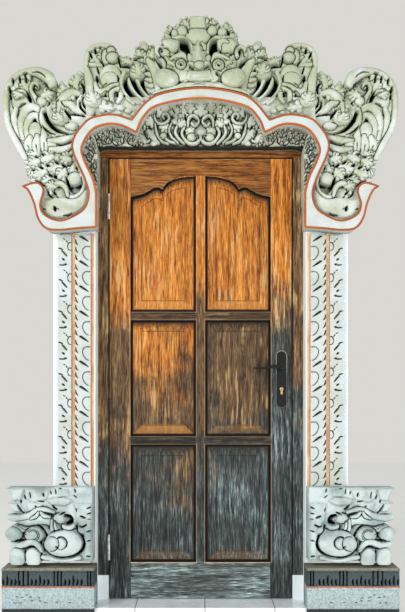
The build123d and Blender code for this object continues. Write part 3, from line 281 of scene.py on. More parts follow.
    # Painted shade: black in the gap between the leaf and the frame
    side_gap = calc(tree, "MAXIMUM", calc(tree, "ABSOLUTE", calc(tree, "SUBTRACT", aside, leaf_edge)),
                    calc(tree, "SUBTRACT", height, leaf_top))
    head_gap = calc(tree, "MAXIMUM", calc(tree, "ABSOLUTE", calc(tree, "SUBTRACT", height, head_joint)),
                    calc(tree, "SUBTRACT", aside, leaf_edge))
    gap = fade(tree, calc(tree, "MINIMUM", side_gap, head_gap), 0.0026, 0.0048, 1.0, 0.0)
    joints = calc(tree, "MULTIPLY", fade(tree, calc(tree, "ABSOLUTE",
                                                    calc(tree, "SUBTRACT", aside, stile_edge)),
                                         0.0008, 0.0022, 0.7, 0.0),
                  calc(tree, "GREATER_THAN", beyond, 0.001))
    # The painted shade of the grooves and the gap, a dark line at each field's edge and the dark joints at
    # the stiles all go near black
    shade_and_dark_lines = calc(tree, "MAXIMUM", calc(tree, "MAXIMUM", groove, field), calc(tree, "MAXIMUM", gap, joints))
    colour = blended(tree, shade_and_dark_lines, colour, linear("#0b0806"))
    dim = add(tree, "ShaderNodeCombineXYZ", {axis: tone.outputs["Z"] for axis in "XYZ"})
    colour = blended(tree, 1.0, colour, dim.outputs[0], "MULTIPLY")
    tree.links.new(colour, shader.inputs["Base Color"])
    shader.inputs["Roughness"].default_value = 0.62
    shader.inputs["Specular IOR Level"].default_value = 0.25
    bump(tree, shader, figure, 0.7, 0.0012)
    return wood


upright_timber = timber("weathered_hardwood_upright", "Z")
cross_timber = timber("weathered_hardwood_cross", "X")


def board(node, number, tone, arris):
    """A node's board with rounded arrises, numbered so that its grain differs from its neighbours'."""
    mesh = bmesh.new()
    mesh.from_mesh(frame["nodes"][node].data)
    bmesh.ops.remove_doubles(mesh, verts=mesh.verts, dist=1e-5)
    bmesh.ops.dissolve_limit(mesh, angle_limit=0.01, verts=mesh.verts, edges=mesh.edges)
    sharp = [e for e in mesh.edges if len(e.link_faces) == 2 and e.calc_face_angle() > math.radians(40)]
    bmesh.ops.bevel(mesh, geom=sharp, offset=arris, segments=2, affect="EDGES", profile=0.6,
                    clamp_overlap=True)
    data = bpy.data.meshes.new(node + "_board")
    mesh.to_mesh(data)
    mesh.free()
    for attribute, value in (("board", (number * 1.37, number * 0.71, number * 0.53)), ("tone", tone)):
        data.attributes.new(attribute, "FLOAT_VECTOR", "POINT").data.foreach_set(
            "vector", np.tile(value, len(data.vertices)))
    piece = bpy.data.objects.new(node + "_board", data)
    scene.collection.objects.link(piece)
    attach(piece, "surround" if node in ("jamb_left", "jamb_right", "frame_head") else "leaf")
    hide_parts(node)
    return piece


# Each board's weathering: how much higher than usual, in metres, it has browned and has gone grey, and its
# brightness
board_tones = {
    "hinge_stile": (0.04, 0.02, 0.96), "lock_stile": (0.28, 0.6, 1.16), "muntin": (0.12, 0.05, 1.0),
    "jamb_left": (1.6, 0.05, 1.3), "jamb_right": (1.6, 0.4, 1.4),
    "panel_upper_left": (-0.6, 0.0, 1.02), "panel_upper_right": (-0.5, 0.0, 0.95),
    "panel_middle_left": (-0.24, -0.16, 1.0), "panel_middle_right": (0.16, 0.2, 0.86),
    "panel_lower_left": (0.1, -0.02, 1.0), "panel_lower_right": (0.2, 0.16, 1.12),
    "top_rail": (-1.0, 0.0, 0.5), "bottom_rail": (1.0, 0.5, 2.5), "frame_head": (-1.0, 0.0, 0.56),
    "cross_rail_lower_left": (1.0, 0.05, 0.55), "cross_rail_lower_right": (1.0, 0.15, 0.5),
    "cross_rail_upper_left": (1.0, 0.0, 0.6), "cross_rail_upper_right": (1.0, 0.0, 0.5),
}
cross_boards = ("top_rail", "bottom_rail", "frame_head")
for number, (node, tone) in enumerate(board_tones.items(), start=1):
    piece = board(node, number, tone, 0.0008 if node.startswith("panel") else 0.0012)
    across = node in cross_boards or node.startswith("cross_rail")
    piece.data.materials.append(cross_timber if across else upright_timber)

# Paint on the carved stone: many coats of white lime over soft volcanic stone. It has weathered to grey
# and khaki on what faces up, and black-green mould has grown in the hollows that stay damp. Painted
# shade darkens the same hollows, and the backs and undersides.


def limewash(name, clean, weathered, mould, mottling=0.5, chisel=0.1):
    """Painted stone whose hollows, told by a mesh attribute where there is one, get mould and painted shade.
    """
    paint, tree, shader, place = surface(name)
    mould_and_shade = add(tree, "ShaderNodeAttribute", attribute_name="mould_and_shade").outputs["Fac"]
    patches = noise(tree, place, 9.0, 4.0, 0.6)
    specks = noise(tree, place, 85.0, 4.0, 0.65)
    ragged = calc(tree, "MULTIPLY_ADD", calc(tree, "SUBTRACT", specks, 0.5), 0.55, mould_and_shade)
    # What stands above the arch faces the weather
    height = add(tree, "ShaderNodeSeparateXYZ", {"Vector": place}).outputs["Z"]
    exposed = fade(tree, height, 2.2, 2.55, 0.0, 0.26, "LINEAR")
    faded = fade(tree, calc(tree, "ADD", patches, exposed), 0.42, 0.66, 0.0, mottling, "LINEAR")
    colour = blended(tree, faded, linear(clean), linear(weathered))
    # A grey-green film, then black-green mould, darkens the hollows, partly as mould and partly as painted
    # shade
    film_and_shade = fade(tree, ragged, 0.1, 0.42, 0.0, 0.72, "LINEAR")
    colour = blended(tree, film_and_shade, colour, linear("#8e9482"))
    colour = blended(tree, fade(tree, ragged, 0.34, 0.66), colour, linear(mould))
    tree.links.new(colour, shader.inputs["Base Color"])
    shader.inputs["Roughness"].default_value = 0.78
    # Chisel facets about 15 mm across under the coats of paint
    chiselled = bump(tree, shader, noise(tree, place, 55.0, 2.0, 0.6), chisel, 0.006)
    bump(tree, shader, specks, 0.35, 0.0016, chiselled)
    return paint


painted_stone = limewash("limewashed_stone", "#ced4cb", "#a2a98c", "#0e120d", 0.9, 0.5)
splashed_stone = limewash("splashed_limewash", "#c2cecc", "#8f9f9c", "#0f130f", 1.0, 0.6)
damp_stone = limewash("damp_limewashed_stone", "#cdd2c4", "#9aa08c", "#171c14", 0.9, 0.6)
smooth_paint = limewash("smooth_limewash", "#c3cac8", "#adb3a6", "#0e120d", 0.7)

# Band over the arch: one plain stone moulding cut in three lengths, white between painted ochre lines. It
# springs from the pilasters in a hook on each side and rises in three arches to the mask.
bare = -99.0


def settled(piece):
    """Applies a piece's modifiers to a plain mesh and removes them."""
    bpy.context.view_layer.update()
    final = bpy.data.meshes.new_from_object(piece.evaluated_get(bpy.context.evaluated_depsgraph_get()))
    piece.modifiers.clear()
    piece.data = final
    return final


class Carving:
    """A stone's carved face: heights in front of the wall, in millimetres, over the picture's elevation.

    Places and widths are in the picture's columns and rows, each about 4.5 mm on the stone. Where there is
    no stone, the height is bare."""

    def __init__(self, left, right, top, bottom, cell, face):
        self.cell = cell
        self.scale = (eye_distance - face) / focal_pixels
        self.u, self.v = np.meshgrid(np.arange(left, right, cell), np.arange(top, bottom, cell))
        self.height = np.full(self.u.shape, bare)

    def smooth(self, points):
        """A curve through the points."""
        p = np.array(points, float)
        if len(p) < 3:
            return np.array([p[0] + (p[-1] - p[0]) * t for t in np.linspace(0, 1, 4)])
        p = np.vstack([2 * p[0] - p[1], p, 2 * p[-1] - p[-2]])
        curve = []
        for a, b, c, d in zip(p, p[1:], p[2:], p[3:]):
            for t in (0, 0.2, 0.4, 0.6, 0.8):
                curve.append(0.5 * (2 * b + (c - a) * t + (2 * a - 5 * b + 4 * c - d) * t ** 2
                                    + (3 * b - a - 3 * c + d) * t ** 3))
        return np.array(curve + [p[-2]])

    def near(self, points, reach):
        """The cells near a curve, their distance to it, and how far along it they lie."""
        curve = self.smooth(points)
        rows = np.where((self.v[:, 0] > curve[:, 1].min() - reach)
                        & (self.v[:, 0] < curve[:, 1].max() + reach))[0]
        cols = np.where((self.u[0] > curve[:, 0].min() - reach)
                        & (self.u[0] < curve[:, 0].max() + reach))[0]
        if not len(rows) or not len(cols):
            return None, None, None
        patch = np.s_[rows[0]:rows[-1] + 1, cols[0]:cols[-1] + 1]
        u, v = self.u[patch], self.v[patch]
        runs = np.linalg.norm(np.diff(curve, axis=0), axis=1)
        total, done = runs.sum(), 0.0
        best, along = np.full(u.shape, 1e9), np.zeros(u.shape)
        for a, b, run in zip(curve, curve[1:], runs):
            du, dv = b - a
            t = np.clip(((u - a[0]) * du + (v - a[1]) * dv) / max(run * run, 1e-9), 0, 1)
            far = np.hypot(u - a[0] - t * du, v - a[1] - t * dv)
            closer = far < best
            best[closer] = far[closer]
            along[closer] = ((done + t * run) / total)[closer]
            done += run
        return patch, best, along

    def ridge(self, points, widths, top, gap=0.7, drop=None):
        """A raised stroke with a dark cut beside it. Widths and top run from its start to its end."""
        widths, top = np.atleast_1d(widths).astype(float), np.atleast_1d(top).astype(float)
        patch, far, along = self.near(points, widths.max() / 2 + gap + 1)
        if patch is None:
            return
        half = np.interp(along, np.linspace(0, 1, len(widths)), widths) / 2
        crown = np.interp(along, np.linspace(0, 1, len(top)), top)
        q = np.clip(far / np.maximum(half, 1e-3), 0, 1)
        fall = half * self.scale * 0.9 if drop is None else drop
        stone = self.height[patch]
        inside = far < half
        cut = (far < half + gap) & ~inside & (half > 0.4)
        stone[cut] = np.where(stone[cut] > 0, np.minimum(stone[cut], crown[cut] - 34), stone[cut])
        stone[inside] = (crown - fall + fall * np.sqrt(1 - q ** 2))[inside]

    def cut(self, points, widths, floor):
        """A deep chisel cut, down to a height in front of the wall."""
        widths = np.atleast_1d(widths).astype(float)
        patch, far, along = self.near(points, widths.max() / 2 + 1)
        if patch is None:
            return
        half = np.interp(along, np.linspace(0, 1, len(widths)), widths) / 2
        depth = np.clip(1 - (far / np.maximum(half, 1e-3)) ** 3, 0, 1)
        stone = self.height[patch]
        hit = (far < half) & (stone > floor)
        stone[hit] = (stone + (floor - stone) * depth)[hit]

    def dome(self, u, v, ru, rv, top, turn=0, gap=0.8, drop=None):
        """A rounded boss with a dark cut round it."""
        a = math.radians(turn)
        du, dv = self.u - u, self.v - v
        p, q = (du * math.cos(a) + dv * math.sin(a)) / ru, (dv * math.cos(a) - du * math.sin(a)) / rv
        far = np.hypot(p, q)
        fall = min(ru, rv) * self.scale * 0.8 if drop is None else drop
        inside = far < 1
        cut = (far < 1 + gap / min(ru, rv)) & ~inside & (self.height > 0)
        self.height[cut] = np.minimum(self.height[cut], top - fall - 14)
        rise = np.sqrt(np.clip(1 - far ** 2, 0, 1))
        self.height[inside] = (top - fall + fall * rise)[inside]

    def plate(self, points, top, edge=2.0, drop=12.0, curved=True):
        """A flat area of stone with a rounded margin."""
        outline = self.smooth(list(points) + [points[0]]) if curved else np.array(points + [points[0]],
                                                                                  float)
        inside = np.zeros(self.u.shape, bool)
        far = np.full(self.u.shape, 1e9)
        for a, b in zip(outline, outline[1:]):
            if a[1] != b[1]:
                crosses = (self.v > a[1]) != (self.v > b[1])
                inside ^= crosses & (self.u < a[0] + (self.v - a[1]) * (b[0] - a[0]) / (b[1] - a[1]))
            du, dv = b - a
            t = np.clip(((self.u - a[0]) * du + (self.v - a[1]) * dv) / max(du * du + dv * dv, 1e-9), 0, 1)
            far = np.minimum(far, np.hypot(self.u - a[0] - t * du, self.v - a[1] - t * dv))
        rise = top - drop * (1 - np.clip(far / edge, 0, 1)) ** 2
        self.height[inside] = rise[inside]

    def leaf(self, root, tips, top, width):
        """A spray of pointed lobes from one root."""
        for tip in tips:
            middle = ((root[0] + tip[0]) / 2, (root[1] + tip[1]) / 2)
            self.ridge([root, middle, tip], (width * 0.8, width, width, width * 0.55), top, gap=0, drop=6)

    def acanthus(self, spine, reach, top, lobes=4):
        """A full leaf, with rounded lobes along both sides of a broad rib and one at its tip."""
        curve = self.smooth(spine)
        for step in range(lobes):
            place = round((step + 0.5) / lobes * (len(curve) - 1))
            ahead = curve[min(place + 2, len(curve) - 1)] - curve[max(place - 2, 0)]
            heading = math.atan2(ahead[1], ahead[0])
            size = reach * (1 - 0.4 * step / lobes)
            for side in (-1, 1):
                turn = heading + side * math.radians(66)
                u, v = curve[place] + 0.6 * size * np.array((math.cos(turn), math.sin(turn)))
                self.dome(u, v, size * 0.52, size * 0.38, top - 3, math.degrees(turn), gap=0.35, drop=10)
        self.dome(*curve[-1], reach * 0.4, reach * 0.34, top - 2, gap=0.35, drop=10)
        self.ridge(spine, (reach * 0.7, reach * 0.95, reach * 0.55), top, gap=0, drop=9)

    def blurred(self, field, cells):
        """A field averaged over a neighbourhood."""
        for axis in (0, 1):
            padded = np.pad(field, [(cells, cells) if a == axis else (0, 0) for a in (0, 1)], mode="edge")
            sums = np.cumsum(padded, axis=axis)
            ahead = np.take(sums, range(2 * cells, padded.shape[axis]), axis=axis)
            behind = np.take(np.insert(sums, 0, 0, axis=axis), range(padded.shape[axis] - 2 * cells),
                             axis=axis)
            field = (ahead - behind) / (2 * cells + 1)
        return field

    def at(self, points):
        """Where points of the wall, in millimetres from the doorway's middle and the ground, are drawn."""
        return [(middle_column + x / self.scale, horizon_row + (eye_height - z) / self.scale) for x,
                z in points]

    def mesh(self, name, flip=False, keep=0.45, back=0.0, lift=0.0, sighted=True):
        """The carved stone as a closed mesh, with its back a given height in front of the wall. Heights were
        drawn lift higher than they stand, and flip mirrors the stone to the other side of the door."""
        stone = self.height > bare / 2
        cell = stone[:-1, :-1] & stone[1:, :-1] & stone[:-1, 1:] & stone[1:, 1:]
        for _ in range(4):
            # Cells that touch at a corner alone are joined, so that the stone stays whole
            a, b, c, d = cell[:-1, :-1], cell[:-1, 1:], cell[1:, :-1], cell[1:, 1:]
            pinched = (a & d & ~b & ~c) | (b & c & ~a & ~d)
            for corner in (np.s_[:-1, :-1], np.s_[:-1, 1:], np.s_[1:, :-1], np.s_[1:, 1:]):
                cell[corner] |= pinched
        used = np.zeros(self.u.shape, bool)
        for corner in (np.s_[:-1, :-1], np.s_[:-1, 1:], np.s_[1:, :-1], np.s_[1:, 1:]):
            used[corner] |= cell
        level = np.where(stone, self.height, 30.0 + lift)
        # Mould and painted shade darken narrow cuts and, more thinly, broad hollows
        cut_depth, hollow_depth = 16.0, 40.0
        hollow = np.clip((self.blurred(self.blurred(level, 3), 3) - level) / cut_depth, 0, 1)
        deep = np.clip((self.blurred(level, 9) - level) / hollow_depth, 0, 1)
        mould_and_shade = np.clip(0.75 * hollow + 0.6 * deep, 0, 1)
        number = np.full(self.u.shape, -1)
        count = int(used.sum())
        number[used] = np.arange(count)
        i, j = np.where(cell)
        # Rows run downwards, so a front face goes round from its lower left corner
        quad = np.stack([number[i + 1, j], number[i + 1, j + 1], number[i, j + 1], number[i, j]], 1)
        # Places are sighted on the stone's general surface, so that they lie where they are drawn
        scale = self.scale
        if sighted:
            total, share = [self.blurred(self.blurred(field, 12), 12)
                            for field in (np.where(stone, level, 0.0), stone * 1.0)]
            scale = (eye_distance + lift - (total / np.maximum(share, 1e-6))[used]) / focal_pixels
        x = (self.u[used] - middle_column) * scale
        z = eye_height + (horizon_row - self.v[used]) * scale
        edges = np.concatenate([quad[:, [0, 1]], quad[:, [1, 2]], quad[:, [2, 3]], quad[:, [3, 0]]])
        keys = np.sort(edges, 1) @ np.array([count, 1])
        _, first, times = np.unique(keys, return_index=True, return_counts=True)
        rim = edges[first[times == 1]]
        for _ in range(6):
            # The outline's steps are smoothed along it
            sums, seen = np.zeros((count, 2)), np.zeros(count)
            for a, b in (rim.T, rim.T[::-1]):
                np.add.at(sums, a, np.stack([x[b], z[b]], 1))
                np.add.at(seen, a, 1)
            live = seen > 0
            x[live] = (x[live] + sums[live, 0] / seen[live]) / 2
            z[live] = (z[live] + sums[live, 1] / seen[live]) / 2
        front = np.stack([x, lift - level[used], z], 1)
        after = dict(rim.tolist())
        rear = {corner: count + place for place, corner in enumerate(after)}
        back_corners = [(x[corner], -back, z[corner]) for corner in after]
        faces = quad.tolist() + [(b, a, rear[a], rear[b]) for a, b in after.items()]
        while after:
            start, corner = after.popitem()
            loop = [rear[start]]
            while corner != start:
                loop.append(rear[corner])
                corner = after.pop(corner)
            faces.append(loop[::-1])
        corners = np.vstack([front, back_corners]) / 1000
        if flip:
            corners[:, 0] *= -1
            faces = [face[::-1] for face in faces]
        data = bpy.data.meshes.new(name)
        data.from_pydata(corners.tolist(), [], faces)
        # The sides and back get a fixed value of 0.4, painted shade on the undersides and backs
        data.attributes.new("mould_and_shade", "FLOAT", "POINT").data.foreach_set(
            "value", np.concatenate([mould_and_shade[used], np.full(len(corners) - count, 0.4)]))
        piece = bpy.data.objects.new(name, data)
        scene.collection.objects.link(piece)
        if keep < 1:
            piece.modifiers.new("thinning", "DECIMATE").ratio = keep
        final = settled(piece)
        final.shade_smooth()
        final.set_sharp_from_angle(angle=math.radians(62))
        return piece


half_upper = [(0, 2328), (-158, 2307), (-237, 2269), (-306, 2187), (-379, 2209), (-446, 2205), (-512, 2176),
              (-570, 2074), (-516, 1933), (-496, 1862), (-512, 1800), (-556, 1764), (-623, 1740),
              (-689, 1764), (-711, 1809), (-696, 1875), (-725, 1908), (-789, 1893)]
half_hook = [(-789, 1893), (-764, 1875), (-738, 1817), (-720, 1751), (-685, 1707), (-623, 1699),
             (-550, 1706), (-463, 1712)]
half_lower = [(-463, 1712), (-463, 1866), (-481, 1933), (-516, 2008), (-527, 2066), (-485, 2139),
              (-423, 2167), (-357, 2165), (-285, 2132), (-255, 2198), (-189, 2252), (0, 2284)]
band_front = 120


def across(half):
    """A half line with its mirror image, from one side of the door to the other."""
    start = half if half[0][0] else half[::-1]
    return start + [(-x, z) for x, z in start[::-1] if x]


def eased(points, corners):
    """A smooth line through points that keeps its named corners sharp."""
    corners = corners + [(-x, z) for x, z in corners]
    places = [0] + sorted(points.index(corner) for corner in corners if corner in points) + [len(points) - 1]
    line = []
    for a, b in zip(places, places[1:]):
        if b > a:
            line += list(map(tuple, band.smooth(points[a:b + 1])))
    return line


band = Carving(middle_column - 184, middle_column + 184.2, 84, 240, 0.4, band_front)
upper = eased(across(half_upper), [(-306, 2187)])
lower = eased(across(half_lower), [(-463, 1866), (-285, 2132)])
hook = eased(half_hook, [])
hook_right = [(-x, z) for x, z in hook]
band_outline = upper + hook_right[1:] + lower[::-1][1:] + hook[::-1][1:-1]
band.plate(band.at(band_outline), band_front, 1.6, 7, curved=False)
stone = band.mesh("plain_band", keep=0.3, back=2)
stone.data.materials.append(smooth_paint)
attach(stone, "surround")
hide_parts("band_left", "band_centre", "band_right")


def painted_edge(name, line, wide, proud, material):
    """A raised, painted line along the band's edge: Geometry Nodes sweep a round bead along it."""
    curve = bpy.data.curves.new(name, "CURVE")
    curve.dimensions = "3D"
    spline = curve.splines.new("POLY")
    spline.points.add(len(line) - 1)
    for point, (x, z) in zip(spline.points, line):
        point.co = (x / 1000, -proud / 1000, z / 1000, 1)
    path = bpy.data.objects.new(name + "_path", curve)
    scene.collection.objects.link(path)
    tree = bpy.data.node_groups.new("painted_edge", "GeometryNodeTree")
    for socket, kind in (("Path", "NodeSocketGeometry"), ("Radius", "NodeSocketFloat")):
        tree.interface.new_socket(socket, in_out="INPUT", socket_type=kind)
    tree.interface.new_socket("Bead", in_out="OUTPUT", socket_type="NodeSocketGeometry")
    entry = add(tree, "NodeGroupInput")
    ring = add(tree, "GeometryNodeCurvePrimitiveCircle",
               {"Resolution": 8, "Radius": entry.outputs["Radius"]})
    bead = add(tree, "GeometryNodeCurveToMesh", {"Curve": entry.outputs["Path"], "Profile Curve": ring,
                                                 "Fill Caps": True})
    smooth = add(tree, "GeometryNodeSetShadeSmooth", {"Geometry": bead})
    painted = add(tree, "GeometryNodeSetMaterial", {"Geometry": smooth, "Material": material})
    tree.links.new(painted.outputs[0], add(tree, "NodeGroupOutput").inputs["Bead"])
    sweep = path.modifiers.new("sweep", "NODES")
    sweep.node_group = tree
    radius = [s for s in tree.interface.items_tree if s.name == "Radius"][0]
    sweep[radius.identifier] = wide / 2000
    bpy.context.view_layer.update()
    final = bpy.data.meshes.new_from_object(path.evaluated_get(bpy.context.evaluated_depsgraph_get()))
    bpy.data.objects.remove(path)
    bead_piece = bpy.data.objects.new(name, final)
    scene.collection.objects.link(bead_piece)
    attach(bead_piece, "surround")


ochre = limewash("ochre_paint", "#ad4e06", "#c06d22", "#5f3012", 0.8)
dark_ochre = limewash("burnt_ochre_paint", "#9c4506", "#ad5d1c", "#502808", 0.8)
painted_edge("band_upper_line", hook[::-1] + upper[1:] + hook_right[1:], 9, band_front - 1, dark_ochre)
painted_edge("band_lower_line", lower, 10, band_front - 1, ochre)

# Crest: two mirrored stones, carved with leaves, lobes and flutes and painted with lime. They rise over
# the band on either side of the mask and are dowelled to the wall.
crest = Carving(0, 164, 34, 226, 0.42, 92)
crest.plate([(25, 160), (20, 150), (14, 142), (9, 132), (5, 121), (3, 108), (4, 93), (8, 80), (17, 71.5),
             (27, 68), (38, 68), (47, 71.5), (53, 78), (56, 84), (57, 86), (59, 80), (61, 79), (63, 81),
             (66, 84.5), (69, 80), (72, 80), (71, 76), (72, 72.5), (75, 74), (77, 70), (80, 69), (83, 72),
             (83, 58), (85, 51), (90, 46), (96, 43.5), (103, 42.5), (110, 43.5), (115, 47), (118, 53),
             (121, 54), (124, 56.5), (128, 55.5), (133, 57), (134.5, 52), (134.5, 47), (136, 45),
             (138.5, 45.5), (139, 41.5), (143, 39.5), (146, 41), (149, 44.5), (153, 43), (156, 47),
             (161, 47), (162, 96), (150, 101), (142, 108), (136, 116), (133, 123), (120, 120), (108, 118),
             (98, 119), (90, 122), (84, 128), (79, 136), (76.5, 146), (79, 156), (85, 168), (90, 180),
             (92, 192), (91, 204), (84, 214), (74, 220), (60, 223), (48, 221), (39, 214), (36.5, 204),
             (39, 195), (39, 189), (35, 184), (28, 181), (29, 177), (25, 174), (28, 172), (24, 168),
             (27, 165), (23, 161)],
            74, 1.6, 10, curved=False)
# Large lobe: a broad plain rim that curls over at its end, round a folded leaf
crest.plate([(42, 128), (20, 118), (10, 100), (14, 80), (34, 72), (52, 80), (56, 100), (60, 108)], 70, 4, 8)
crest.leaf((27, 93), [(11, 88), (12.5, 81), (17, 76.5), (22.5, 74), (28.5, 72.5)], 92, 6.4)
crest.acanthus([(28, 90), (23, 82)], 6.4, 96, 2)
crest.acanthus([(22, 96), (15, 93)], 5.6, 92, 2)
crest.ridge([(25, 158), (18, 145), (11, 132), (7, 120), (5.6, 107), (6.6, 93), (10.5, 82.5), (17, 75.5),
             (26, 71.5), (37, 71.2), (46, 75), (51, 80.5), (52.5, 86)],
            (5, 7, 6.6, 6, 6, 6, 6, 6, 6.4, 7, 11, 13, 8), (84, 92, 94, 94, 96, 98, 104, 108), gap=0.5)
for slot in ([(13, 79.5), (13.8, 84)], [(19.6, 77), (20.6, 83)], [(25.6, 76), (26.6, 83)],
             [(24, 74.4), (27, 73.8)], [(9.4, 87.5), (9.6, 92)], [(9.6, 94.5), (10.6, 98.5)],
             [(10.4, 119), (11.6, 122.5)], [(12.4, 125.8), (15, 129.4)], [(16.6, 132.6), (19.6, 136)]):
    crest.cut(slot, (2, 3, 2), 34)
crest.cut([(33, 73.4), (38, 72.8), (43, 75), (46, 78)], (1, 2, 1.6, 0.6), 50)
crest.ridge([(41, 110), (36, 99), (31.5, 91), (32.5, 85.5), (36, 84.2), (38.6, 87), (36.4, 89)],
            (5, 5, 4, 3.4, 3, 2.6, 1.6), (84, 98, 104, 104, 100), gap=0.6)
crest.cut([(36.6, 87), (38.8, 89.4)], (1.2, 1), 70)
crest.cut([(20.5, 93), (25.5, 93), (29, 97.5), (31.6, 105)], (2, 4.4, 4.2, 1), 22)
crest.ridge([(19, 91), (24, 91.6), (26.4, 95)], (2.4, 3.4, 1.4), 92, gap=0.3)
crest.cut([(18, 108), (22, 104.4), (25.5, 103.4)], (1, 3, 1.6), 40)
crest.dome(41.5, 101, 5, 4.6, 96, gap=0.2)
crest.cut([(44.4, 98.4), (47.8, 99.4), (49, 103), (47, 105.6)], (1.2, 2.2, 2.4, 1.4), 34)
crest.acanthus([(43, 96), (51, 93.6)], 6.6, 96, 2)
crest.cut([(46, 90.2), (51, 89.6), (55.4, 88)], (0.8, 1.4, 1.2), 56)
crest.ridge([(24, 140), (17, 128), (13.6, 117), (16.4, 109)], (5, 7, 7, 4), 90, gap=0.3)
crest.ridge([(23, 138), (21, 122), (26, 110), (34, 107), (40.6, 112.6), (41.6, 122)],
            (5, 7, 7.4, 7.4, 6, 4), 96, gap=0.3, drop=12)
crest.ridge([(28, 140), (26.8, 126), (31, 116.4), (37, 116), (39.6, 122)], (5, 7.4, 7.4, 6, 4), 102,
            gap=0.3, drop=12)
crest.dome(34.8, 129.6, 6.2, 7.4, 108, gap=0.3, drop=14)
for fold in ([(30, 137), (28, 146), (31, 152)], [(37, 136), (36, 145), (38, 154)],
             [(44, 130), (44, 143), (44.6, 154)], [(51, 138), (52, 147), (50, 153)]):
    crest.ridge(fold, (5, 8.4, 8, 4), (104, 98, 92), gap=0.25, drop=11)
    crest.cut([fold[1], fold[2]], (1.6, 1), 84)
# The ball in its hollow, and the fingers under it
crest.ridge([(43, 110), (41.6, 119), (46, 128), (55, 135.6), (66, 138), (75, 136)], (6, 6, 6, 5.4, 5, 3),
            (88, 96, 98, 98, 92), gap=0.2)
crest.cut([(44.6, 113.5), (47.6, 120.4), (54, 128), (62, 133.2), (70, 134.8), (75.6, 133)],
          (4.4, 4.4, 4.4, 4, 3.4, 1.6), 10)
crest.cut([(42.6, 126), (46, 130), (51, 134), (56, 136)], (1, 2, 1.8, 0.6), 40)
crest.dome(59, 118.4, 9, 7.6, 108, turn=20, gap=0.2)
crest.acanthus([(62, 121), (58, 113)], 7, 112, 2)
crest.acanthus([(66, 117), (65, 110)], 5.4, 104, 2)
crest.dome(71.5, 126.4, 7, 4.4, 100, turn=8, gap=0.3)
crest.cut([(66.6, 123.6), (69, 123.2)], (2, 1.6), 44)
crest.acanthus([(62, 107), (54, 107)], 6.4, 98, 2)
crest.cut([(65, 111), (69, 115.6), (70.6, 119)], (2, 4, 1.4), 30)
crest.cut([(69, 114), (79, 115), (89, 118.6)], (3.4, 3, 0.8), 48)
for finger in ([(48, 140), (60, 140.6), (74, 138)], [(50, 148.4), (62, 149.6), (73.4, 146)],
               [(52, 157), (61, 158), (72, 153.4)]):
    crest.ridge(finger, (4, 6.4, 6, 4), (88, 97, 94), gap=0.2)
for slot, wide in (([(56.6, 143.4), (61, 145), (67, 144), (72.4, 141.4)], 2.8),
                   ([(59.6, 153), (64, 154), (69, 152), (71.4, 149)], 3),
                   ([(64.4, 160.4), (68.6, 159.4), (71.8, 155.6)], 2.4),
                   ([(57, 163), (59.4, 166.4), (64, 167.6), (69.6, 165.6), (73, 161.4)], 2),
                   ([(31, 151.6), (36, 156.2)], 2.4), ([(41, 154), (43, 158), (45.6, 161)], 3.6),
                   ([(46, 161), (51, 162)], 1.8), ([(36, 166), (41, 165.4)], 1.2),
                   ([(75.6, 166), (76.8, 170.4), (73, 175)], 1.6)):
    crest.cut(slot, (0.8, wide, wide, 0.8), 30)
# Lower leaf mass, with its torn edge against the wall
for tip in ((23, 160.6), (24, 168), (28, 174.6), (31, 178)):
    crest.ridge([(38, 166), ((tip[0] + 36) / 2, (tip[1] + 165) / 2), tip], (6, 5, 1.4), (88, 84, 76),
                gap=0.3)
for spine, reach, top in (([(36, 153), (31, 157)], 6.4, 92), ([(38, 161), (31, 164)], 7, 96),
                          ([(52, 157), (44, 160)], 8, 100), ([(45, 172), (36, 176)], 7.6, 98),
                          ([(60, 168), (51, 169.6)], 8.4, 103), ([(70, 160), (62, 158)], 7, 99),
                          ([(66, 171), (60, 177)], 7.4, 105), ([(74, 167), (71, 173)], 5.4, 97),
                          ([(52, 180), (44, 182)], 6.4, 97)):
    crest.acanthus(spine, reach, top, 2)
for u, v, wide in ((48, 165.2, 3), (40.6, 167, 3.2), (56.4, 162.6, 2.8), (63.4, 165, 2.8), (55, 176, 3.4),
                   (33.4, 170, 2.4), (68.4, 165.4, 2.2), (42.6, 154.4, 2.8), (36.4, 157, 1.8),
                   (50, 174.6, 2.4)):
    crest.cut([(u - 1, v - 0.5), (u + 1.2, v + 0.8)], wide, 34)
crest.cut([(50, 174), (54, 177.6), (56, 175)], (1, 4, 1.4), 62)
crest.cut([(35, 180.4), (40, 182.4), (45, 186.4)], (1, 2.6, 1.2), 34)
crest.dome(74.6, 179, 7.6, 7, 106, gap=0.2)
crest.cut([(66, 177.6), (67.4, 182), (69, 187)], (1.4, 4.4, 3), 30)
crest.cut([(70, 187.4), (75, 190), (80, 185.6)], (5, 10, 4), 34)
crest.ridge([(81.4, 175), (84.4, 184), (81.6, 193), (74, 197.4), (67, 196)], (3, 3.6, 3.4, 3.4, 2), 96,
            gap=0)
crest.cut([(81.6, 178), (82.4, 186), (79.4, 192), (73, 194.6)], (1, 1.8, 1.8, 0.8), 34)
crest.ridge([(51.6, 194), (53, 187), (59.6, 183.6), (65.6, 188), (68, 196)], (3, 5, 5.4, 5, 3), 102,
            gap=0.5)
crest.acanthus([(55, 187), (48, 185)], 5.6, 98, 2)
crest.plate([(43, 199), (50, 199), (60, 196.6), (70, 198.6), (78, 197), (87, 190), (87, 203), (81, 211),
             (70, 216), (58, 218.6), (48, 216), (41.6, 209), (40.6, 203)], 94, 3, 12)
for slot, wide in (([(47.6, 191.4), (49.6, 195.6), (53, 197.6)], 2), ([(53, 191.6), (56, 194.4)], 2.6),
                   ([(56.4, 196), (58.6, 198)], 1.6), ([(54.4, 207), (55.4, 210.6)], 4.4),
                   ([(64, 216), (69, 215.2), (72, 213.6)], 2.4), ([(43.4, 209), (46, 210)], 1.6),
                   ([(57.4, 208.4), (58.8, 209.4)], 1)):
    crest.cut(slot, (wide * 0.6, wide, wide * 0.6), 46)
